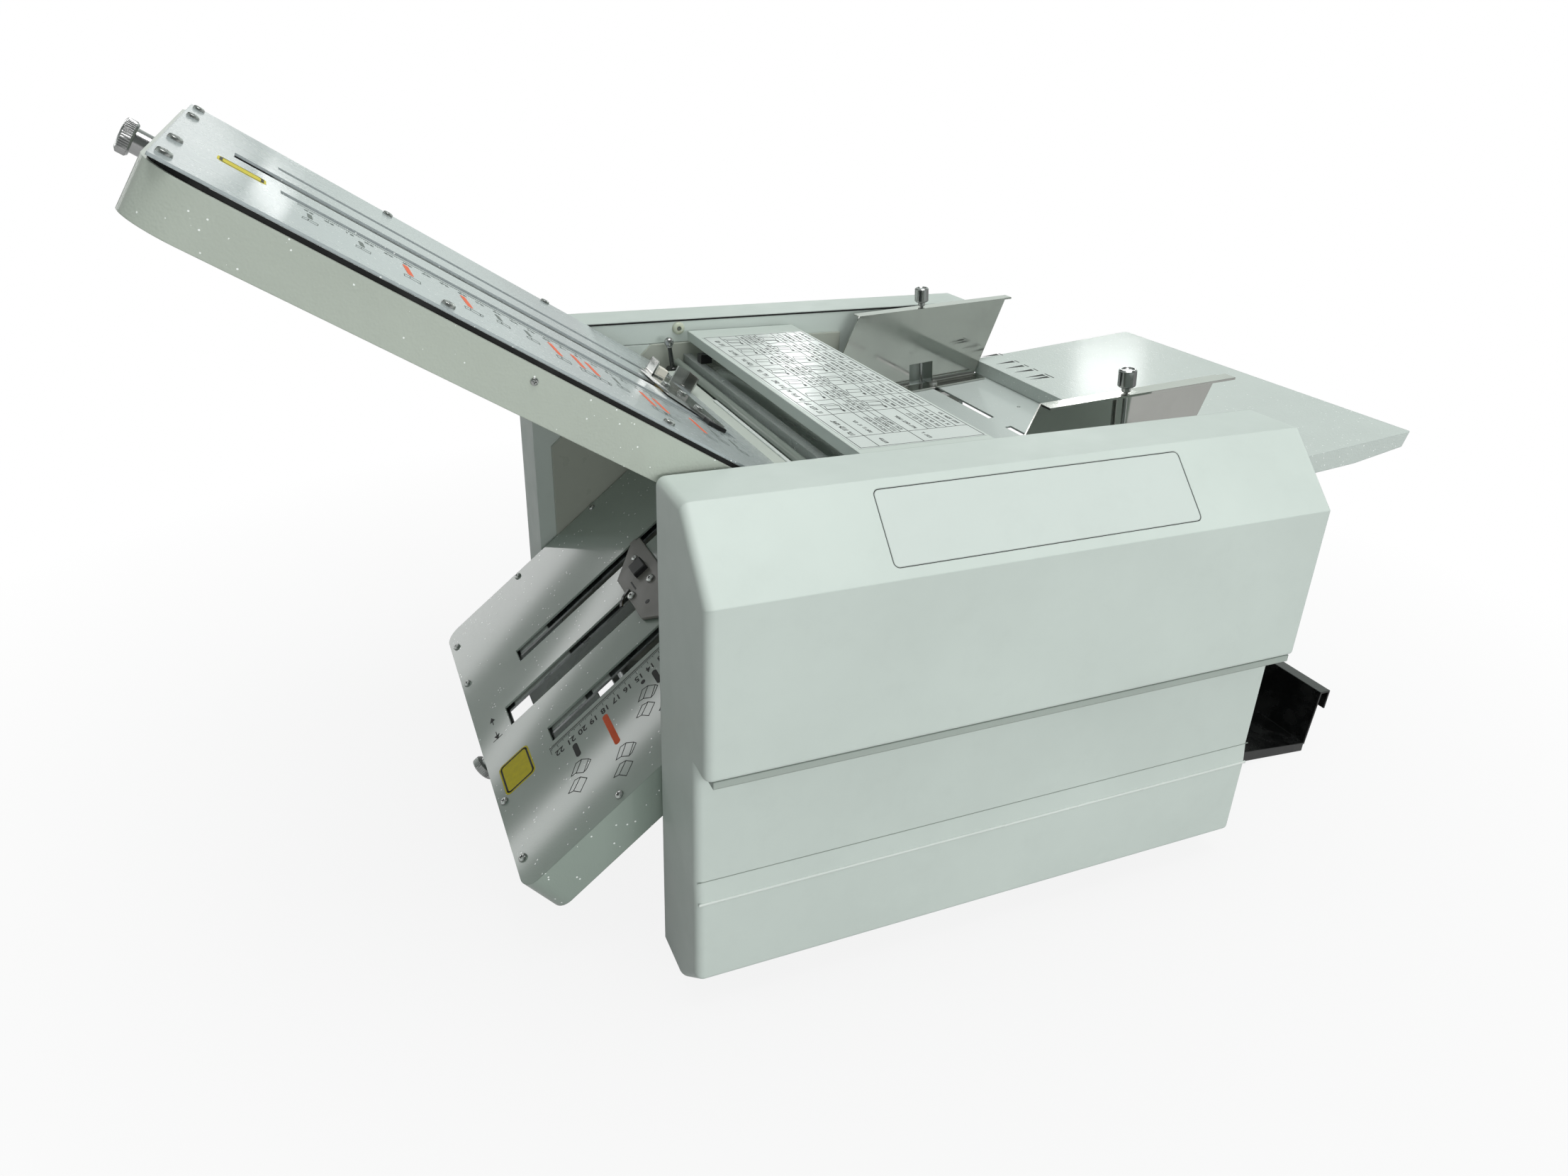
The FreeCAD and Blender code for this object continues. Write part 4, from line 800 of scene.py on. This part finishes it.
def lower_prints():
    """Scale, size bars, sheet drawings and the mark beside the lower plate's knob."""
    dark = bmesh.new()
    line = -68.4
    stroke(dark, (-60, line), (-226, line), 0.35)
    stroke(dark, (-226, line), (-226, line - 7), 0.35)
    for tick in range(60, 226):
        length = tick_length(tick, 5.2, 3.6, 2.4)
        stroke(dark, (-tick, line), (-tick, line - length), 0.34)
        if tick % 10 == 0:
            numerals(dark, str(tick // 10), (-tick, line - 10.0), 7.2, (-1, 0), 0.05)
    for t, inner, outer in ((209, -86, -96), (139.5, -86, -97)):
        pill(dark, (-t, inner), (-t, outer), 4.0)
    pill(dark, (-149.0, -85.4), (-149.2, -85.6), 3.4)
    for t, y in ((213, -103), (182, -123), (152, -93), (137, -104), (90, -104)):
        folded_sheet_icon(dark, -t + 2, y - 5, 10.5, 3, turn=math.pi * 0.80, width=0.5)
        folded_sheet_icon(dark, -t - 4, y - 18, 10.5, 2, turn=math.pi * 0.75, width=0.5)
    arrow = -259.0
    for side in (-1, 1):
        stroke(dark, (arrow, side * 5.0), (arrow, side * 12.0), 0.6)
        head = [(arrow - 2.4, side * 9.0), (arrow, side * 14.0), (arrow + 2.4, side * 9.0)]
        plate(dark, head[::side])
    stroke(dark, (arrow - 4.0, -13.0), (arrow + 4.0, -13.0), 0.6)
    add_piece("lower_plate_scale", dark, "chassis", "black_ink", LOWER)
    orange = bmesh.new()
    for t in (182.3, 96.0):
        pill(orange, (-t, -85.5), (-t, -115.0), 4.4)
    add_piece("lower_plate_marks", orange, "chassis", "orange_ink", LOWER)
    sticker("lower_plate", LOWER, -266, -240, -76, -44)


lower_prints()


def lower_slot_lit_strips():
    """Strips seen through the slots, painted light: deep ones for the inner frame and near ones on
    the bottom sheet, in near-white paint standing in for the light on them.
    """
    bm = bmesh.new()
    # Deep strips of the inner frame, near-white as painted light.
    deep = ((-236, -188, 86, 112), (-238, -120, 35.5, 62), (-246, -189, -34, -12))
    for x0, x1, y0, y1 in deep:
        slab(bm, x0, x1, y0, y1, -28.0, -26.8, 0.3)
    # Patches on the bottom sheet, near-white as painted light where the slots show it lit.
    near = ((-221, -193, 63.2, 76), (-240, -186, 12.6, 22), (-221, -190, -47.8, -35),
            (-184, -168, -47.8, -35))
    for x0, x1, y0, y1 in near:
        slab(bm, x0, x1, y0, y1, -4.45, -4.2)
    add_piece("lower_slot_lit_strips", bm, "chassis", "felt_white_and_painted_light", LOWER)


lower_slot_lit_strips()


def lower_stop_fittings():
    """Screws, adjusting block, slit and hooked finger on the lower stop."""
    bm = bmesh.new()
    for t in (106, 124):
        pan_screw(bm, -t, 0, 3.0, 3.4, 2.0, turn=0.5 + t)
    pan_screw(bm, -107, 38, 3.0, 2.6, 1.4)
    add_piece("lower_stop_screws", bm, "lower_stop", "screw_steel", LOWER)
    bm = bmesh.new()
    slab(bm, -114, -103, 14, 29, 3.0, 7.0, 0.7)
    # Black film drawn for the slit, its dark painted as the shade inside the slit.
    slab(bm, -119.6, -118.4, 3.5, 15.5, 3.01, 3.12)
    lathe(bm, (-117, -20, 3.0), "z", [(0, 0), (0, 1.9), (0.15, 1.9), (0.15, 0)], 20)
    add_piece("lower_stop_block", bm, "lower_stop", "black_plastic", LOWER)
    bm = bmesh.new()
    polyline(bm, [(-124.0, 8.0), (-129.0, 6.0), (-132.5, 2.5), (-134.0, -1.5)], 2.2, 3.2, 4.4)
    add_piece("lower_stop_hook", bm, "lower_stop", "rail_enamel", LOWER)


def upper_stop_fittings():
    """Flag, nylon block, slot sliders and screws on the upper stop, and a folded clip beside it."""
    bm = bmesh.new()
    slab(bm, -97.7, -96.5, 22.5, 38.0, 3.0, 12.6)
    slab(bm, -97.7, -89.0, 22.5, 38.0, 3.0, 4.0, 0.3)
    slab(bm, -97.7, -92.5, 37.0, 38.2, 3.0, 12.6)
    add_piece("upper_stop_flag", bm, "upper_stop", "stainless", UPPER)
    bm = bmesh.new()
    slab(bm, -86.0, -79.0, 45.0, 54.0, 3.0, 8.2, 0.6)
    add_piece("upper_stop_pad", bm, "upper_stop", "nylon", UPPER)
    bm = bmesh.new()
    for side in (-1, 1):
        y0, y1 = sorted((side * 56.5, side * 66.0))
        slab(bm, -86.0, -73.0, y0, y1, 0.3, 2.7, 0.4)
    add_piece("upper_stop_sliders", bm, "upper_stop", "black_plastic", UPPER)
    bm = bmesh.new()
    for x, y in ((-82, 0), (-95, 0), (-84, -38)):
        pan_screw(bm, x, y, 3.0, 3.2, 1.9, turn=0.4 + y)
    add_piece("upper_stop_screws", bm, "upper_stop", "screw_steel", UPPER)
    bm = bmesh.new()
    polyline(bm, [(-44.6, 72.0), (-44.6, 91.5), (-57.0, 86.0)], 1.0, 0.05, 12.4)
    slab(bm, -57.0, -45.0, 92.0, 101.0, 0.05, 1.0, 0.2)
    slab(bm, -46.5, -44.1, 90.0, 94.0, 0.05, 1.0)
    add_piece("folded_clip", bm, "chassis", "stainless", UPPER)
    bm = bmesh.new()
    pan_screw(bm, -51.5, 96.8, 1.0, 2.8, 1.6)
    pan_screw(bm, -48.0, 122.0, 0.0, 2.6, 1.5)
    add_piece("folded_clip_screws", bm, "chassis", "screw_steel", UPPER)


lower_stop_fittings()
upper_stop_fittings()

UPPER_CASING_SIDE = UPPER @ Matrix.Rotation(math.radians(90), 4, "X")
screws("casing_side_screw", [(-222.0, -10.7, 164.5)], UPPER_CASING_SIDE, 2.0, 1.0)


# ---------------------------------------------------------------- chart on the lid

def chart():
    """Blank folding chart: ruled cells, sheet drawings and unreadable ticks in place of words."""
    top = 301.5
    x0, x1, y0, y1 = -66.0, 17.5, -137.5, 137.5
    film = bmesh.new()
    slab(film, x0 - 1.5, x1 + 1.0, y0 - 1.5, y1 + 1.5, top, top + 0.14)
    add_piece("chart_film", film, "chart_lid", "label_film")
    low, high = top + 0.145, top + 0.21
    lines = bmesh.new()
    rows = [y0, y0 + 20] + [y0 + 20 + 44 + i * 30.2 for i in range(7)] + [y1]
    columns = [x0 + step for step in (0, 12, 26, 32, 37, 42, 56, 62, 69, 76)] + [x1]
    for y in rows:
        stroke(lines, (x0, y), (x1, y), 0.42, low, high)
    for x in columns:
        first = y0 if x in (x0, x1, columns[1], columns[5]) else rows[1]
        stroke(lines, (x, first), (x, y1), 0.42, low, high)
    random.seed(11)
    for row in range(2, len(rows) - 1):
        middle = (rows[row] + rows[row + 1]) / 2
        for left, right in ((columns[1], columns[2]), (columns[5], columns[6])):
            centre = (left + right) / 2
            folded_sheet_icon(lines, centre - 0.5, middle, 10.5, 1 + row % 3, math.pi / 2, 0.42,
                              low, high)
            mark = centre + 3.5
            pill(lines, (mark, middle - 8), (mark, middle - 11), 1.6, low, high, 5)
    add_piece("chart_lines", lines, "chart_lid", "black_ink")
    words = bmesh.new()

    def word(middle, first, length, height):
        """Uneven letter-sized ticks in place of a word."""
        step = height * 0.62
        y = first
        while y < first + length:
            rise = height * random.uniform(0.30, 0.50)
            stroke(words, (middle - height * 0.30, y), (middle + rise, y), height * 0.20, low, high)
            if random.random() < 0.7:
                x = middle + height * random.choice((-0.30, 0.05, 0.30))
                stroke(words, (x, y), (x, y + step * 0.75), height * 0.16, low, high)
            y += step

    for row in range(len(rows) - 1):
        start, end = rows[row] + 3.0, rows[row + 1] - 3.0
        for left, right in zip(columns, columns[1:]):
            picture = row >= 2 and left in (columns[1], columns[5])
            if picture or row == 0 and left not in (columns[1], columns[5]):
                continue
            heavy = left == x0
            middle = (left + right) / 2
            y = start + random.uniform(0.0, 2.0)
            limit = start + (end - start) * random.uniform(0.65, 1.0)
            while y < limit - 1.0:
                length = min(random.uniform(3.0, 8.5), limit - y)
                word(middle, y, length, 3.6 if heavy else 2.6)
                y += length + (4.0 if heavy else 2.6)
    add_piece("chart_text_bars", words, "chart_lid", "black_ink")


chart()


# ---------------------------------------------------------------- feed table and guides

def table_prints():
    """Wedges and size bars for the side guides, and small screws in the slotted table."""
    dark = bmesh.new()
    for side in (-1, 1):
        for y in (160.0, 134.0, 119.0, 105.0, 88.0, 81.5):
            wedge = [(10.0, side * (y + 1.0)), (27.0, side * (y - 3.0)), (27.0, side * (y + 1.4))]
            plate(dark, wedge[::side])
            stroke(dark, (29.5, side * (y - 5.0)), (29.5, side * (y + 1.0)), 0.9)
    add_piece("table_width_marks", dark, "chassis", "black_ink", TABLE)
    sunk = -12.55
    screws("slotted_table_screws", [(-17.3, 57.7, sunk), (-17.3, -57.7, sunk)], TABLE, 2.2, 0.6)


table_prints()


# ---------------------------------------------------------------- light, floor and camera

def world():
    """White studio whose reflections darken overhead, behind the camera and on the back wall."""
    space = bpy.data.worlds.new("studio")
    SCENE.world = space
    space.use_nodes = True
    tree = space.node_tree
    background = tree.nodes["Background"]
    path = tree.nodes.new("ShaderNodeLightPath")
    heading = tree.nodes.new("ShaderNodeTexCoord").outputs["Generated"]

    def facing(direction, low, high, out_low, out_high):
        dot = tree.nodes.new("ShaderNodeVectorMath")
        dot.operation = "DOT_PRODUCT"
        tree.links.new(heading, dot.inputs[0])
        dot.inputs[1].default_value = direction
        ramp = tree.nodes.new("ShaderNodeMapRange")
        ramp.interpolation_type = "SMOOTHSTEP"
        limits = {"From Min": low, "From Max": high, "To Min": out_low, "To Max": out_high}
        for key, value in limits.items():
            ramp.inputs[key].default_value = value
        tree.links.new(dot.outputs["Value"], ramp.inputs["Value"])
        return ramp.outputs["Result"]

    def math_node(operation, a, b):
        node = tree.nodes.new("ShaderNodeMath")
        node.operation = operation
        for socket, value in ((node.inputs[0], a), (node.inputs[1], b)):
            if isinstance(value, bpy.types.NodeSocket):
                tree.links.new(value, socket)
            else:
                socket.default_value = value
        return node.outputs[0]

    ceiling = facing((0.0, 0.0, 1.0), 0.30, 0.85, 1.0, 0.42)
    behind = facing((0.15, -0.96, 0.23), 0.05, 0.80, 1.0, 0.20)
    back_wall = facing((-0.35, 0.87, 0.35), 0.80, 0.95, 0.85, 0.16)
    mirror = math_node("MULTIPLY", math_node("MULTIPLY", ceiling, behind), back_wall)
    fill = facing((0.80, -0.40, 0.45), -0.9, 0.9, 0.03, 0.56)
    seen = math_node("MAXIMUM", path.outputs["Is Camera Ray"], path.outputs["Is Transmission Ray"])
    glossy = path.outputs["Is Glossy Ray"]
    soft = math_node("MULTIPLY", fill, math_node("SUBTRACT", 1.0, glossy))
    strength = math_node("ADD", soft, math_node("MULTIPLY", mirror, glossy))
    tree.links.new(math_node("MAXIMUM", strength, seen), background.inputs["Strength"])
    tone = tree.nodes.new("ShaderNodeMix")
    tone.data_type = "RGBA"
    tone.inputs[6].default_value = (0.91, 1.0, 0.95, 1.0)
    tone.inputs[7].default_value = (1.0, 1.0, 1.0, 1.0)
    tree.links.new(seen, tone.inputs[0])
    tree.links.new(tone.outputs[2], background.inputs["Color"])


world()


def area_light(name, location, target, size, power, along=None, shine=True):
    """Rectangular lamp aimed at a target; along turns its long side, shine lets it be mirrored."""
    data = bpy.data.lights.new(name, "AREA")
    data.shape = "RECTANGLE"
    data.size, data.size_y = size
    data.energy = power
    lamp = bpy.data.objects.new(name, data)
    back = (Vector(location) - Vector(target)).normalized()
    side = Vector(along) if along else Vector((0, 0, 1)).cross(back)
    side = (side - back * side.dot(back)).normalized()
    axes = Matrix((side, back.cross(side), back)).transposed()
    lamp.location = location
    lamp.rotation_mode = "QUATERNION"
    lamp.rotation_quaternion = axes.to_quaternion()
    lamp.visible_camera = False
    lamp.visible_glossy = shine
    SCENE.collection.objects.link(lamp)


TUBE_RUN, WINDOW_RUN = (0.76, -0.65, 0.0), (-0.617, 0.787, 0.0)
area_light("overhead", (0.15, -0.30, 2.0), (0.0, 0.0, 0.22), (1.1, 0.9), 16.5)
area_light("front_fill", (0.45, -2.15, 0.60), (0.0, 0.0, 0.2), (0.9, 0.7), 14.0, shine=False)
area_light("tube_near", (-2.87, 3.70, 1.4), (-0.21, -0.12, 0.09), (2.8, 0.13), 5.0, TUBE_RUN)
area_light("tube_middle", (-2.62, 4.39, 1.4), (-0.20, 0.0, 0.10), (2.8, 0.13), 4.0, TUBE_RUN)
area_light("window_far", (-2.55, 5.66, 1.4), (-0.25, 0.10, 0.12), (3.2, 0.5), 14.0, WINDOW_RUN)
area_light("left_fill", (-0.75, -2.0, 0.35), (-0.25, -0.10, 0.12), (0.6, 0.5), 5.5, shine=False)
area_light("lamp_chart", (0.85, 1.97, 0.874), (0.0, 0.03, 0.30), (0.09, 0.09), 0.30)
area_light("lamp_table", (1.72, 1.91, 1.15), (0.29, 0.05, 0.27), (0.18, 0.12), 0.6)
area_light("lamp_plate", (-0.10, 2.18, 0.586), (-0.33, -0.10, 0.44), (0.09, 0.05), 0.05)
area_light("lamp_plate_end", (-0.265, 2.18, 0.69), (-0.36, -0.05, 0.46), (0.19, 0.22), 0.15)


def floor():
    """Pale floor that keeps the shadow near the object and fades into white far from it."""
    bm = bmesh.new()
    bmesh.ops.create_grid(bm, x_segments=8, y_segments=8, size=6.0)
    mesh = bpy.data.meshes.new("floor")
    bm.to_mesh(mesh)
    bm.free()
    ground = bpy.data.objects.new("floor", mesh)
    SCENE.collection.objects.link(ground)
    look = Look("floor_paper", (0.42, 0.42, 0.42, 1.0), roughness=0.9)
    look.shader.inputs["Specular IOR Level"].default_value = 0.0
    tree = look.tree
    white = tree.nodes.new("ShaderNodeEmission")
    path = tree.nodes.new("ShaderNodeLightPath")
    mirrored = look.math("MULTIPLY", path.outputs["Is Glossy Ray"], 0.35)
    seen = look.math("MAXIMUM", path.outputs["Is Camera Ray"], mirrored)
    both = look.math("MAXIMUM", seen, path.outputs["Is Transmission Ray"])
    away = look.node("ShaderNodeVectorMath", {0: look.coords}, operation="LENGTH").outputs["Value"]
    fade = look.spread(away, 0.25, 0.85, 0.88, 1.0)
    blend = tree.nodes.new("ShaderNodeMixShader")
    tree.links.new(look.math("MULTIPLY", both, fade), blend.inputs[0])
    tree.links.new(look.shader.outputs[0], blend.inputs[1])
    tree.links.new(white.outputs[0], blend.inputs[2])
    output = tree.nodes["Material Output"]
    tree.links.new(blend.outputs[0], output.inputs["Surface"])
    mesh.materials.append(look.done())


floor()


def camera():
    """Camera matched to the photograph."""
    data = bpy.data.cameras.new("camera")
    data.sensor_width = 36.0
    data.lens = 25.165
    data.clip_start, data.clip_end = 0.01, 50.0
    view = bpy.data.objects.new("camera", data)
    view.location = (-0.31964, -0.66643, 0.50765)
    view.rotation_mode = "QUATERNION"
    view.rotation_quaternion = Quaternion((0.833765, 0.514822, -0.118452, -0.160512))
    SCENE.collection.objects.link(view)
    SCENE.camera = view


camera()
SCENE.view_settings.view_transform = "Standard"
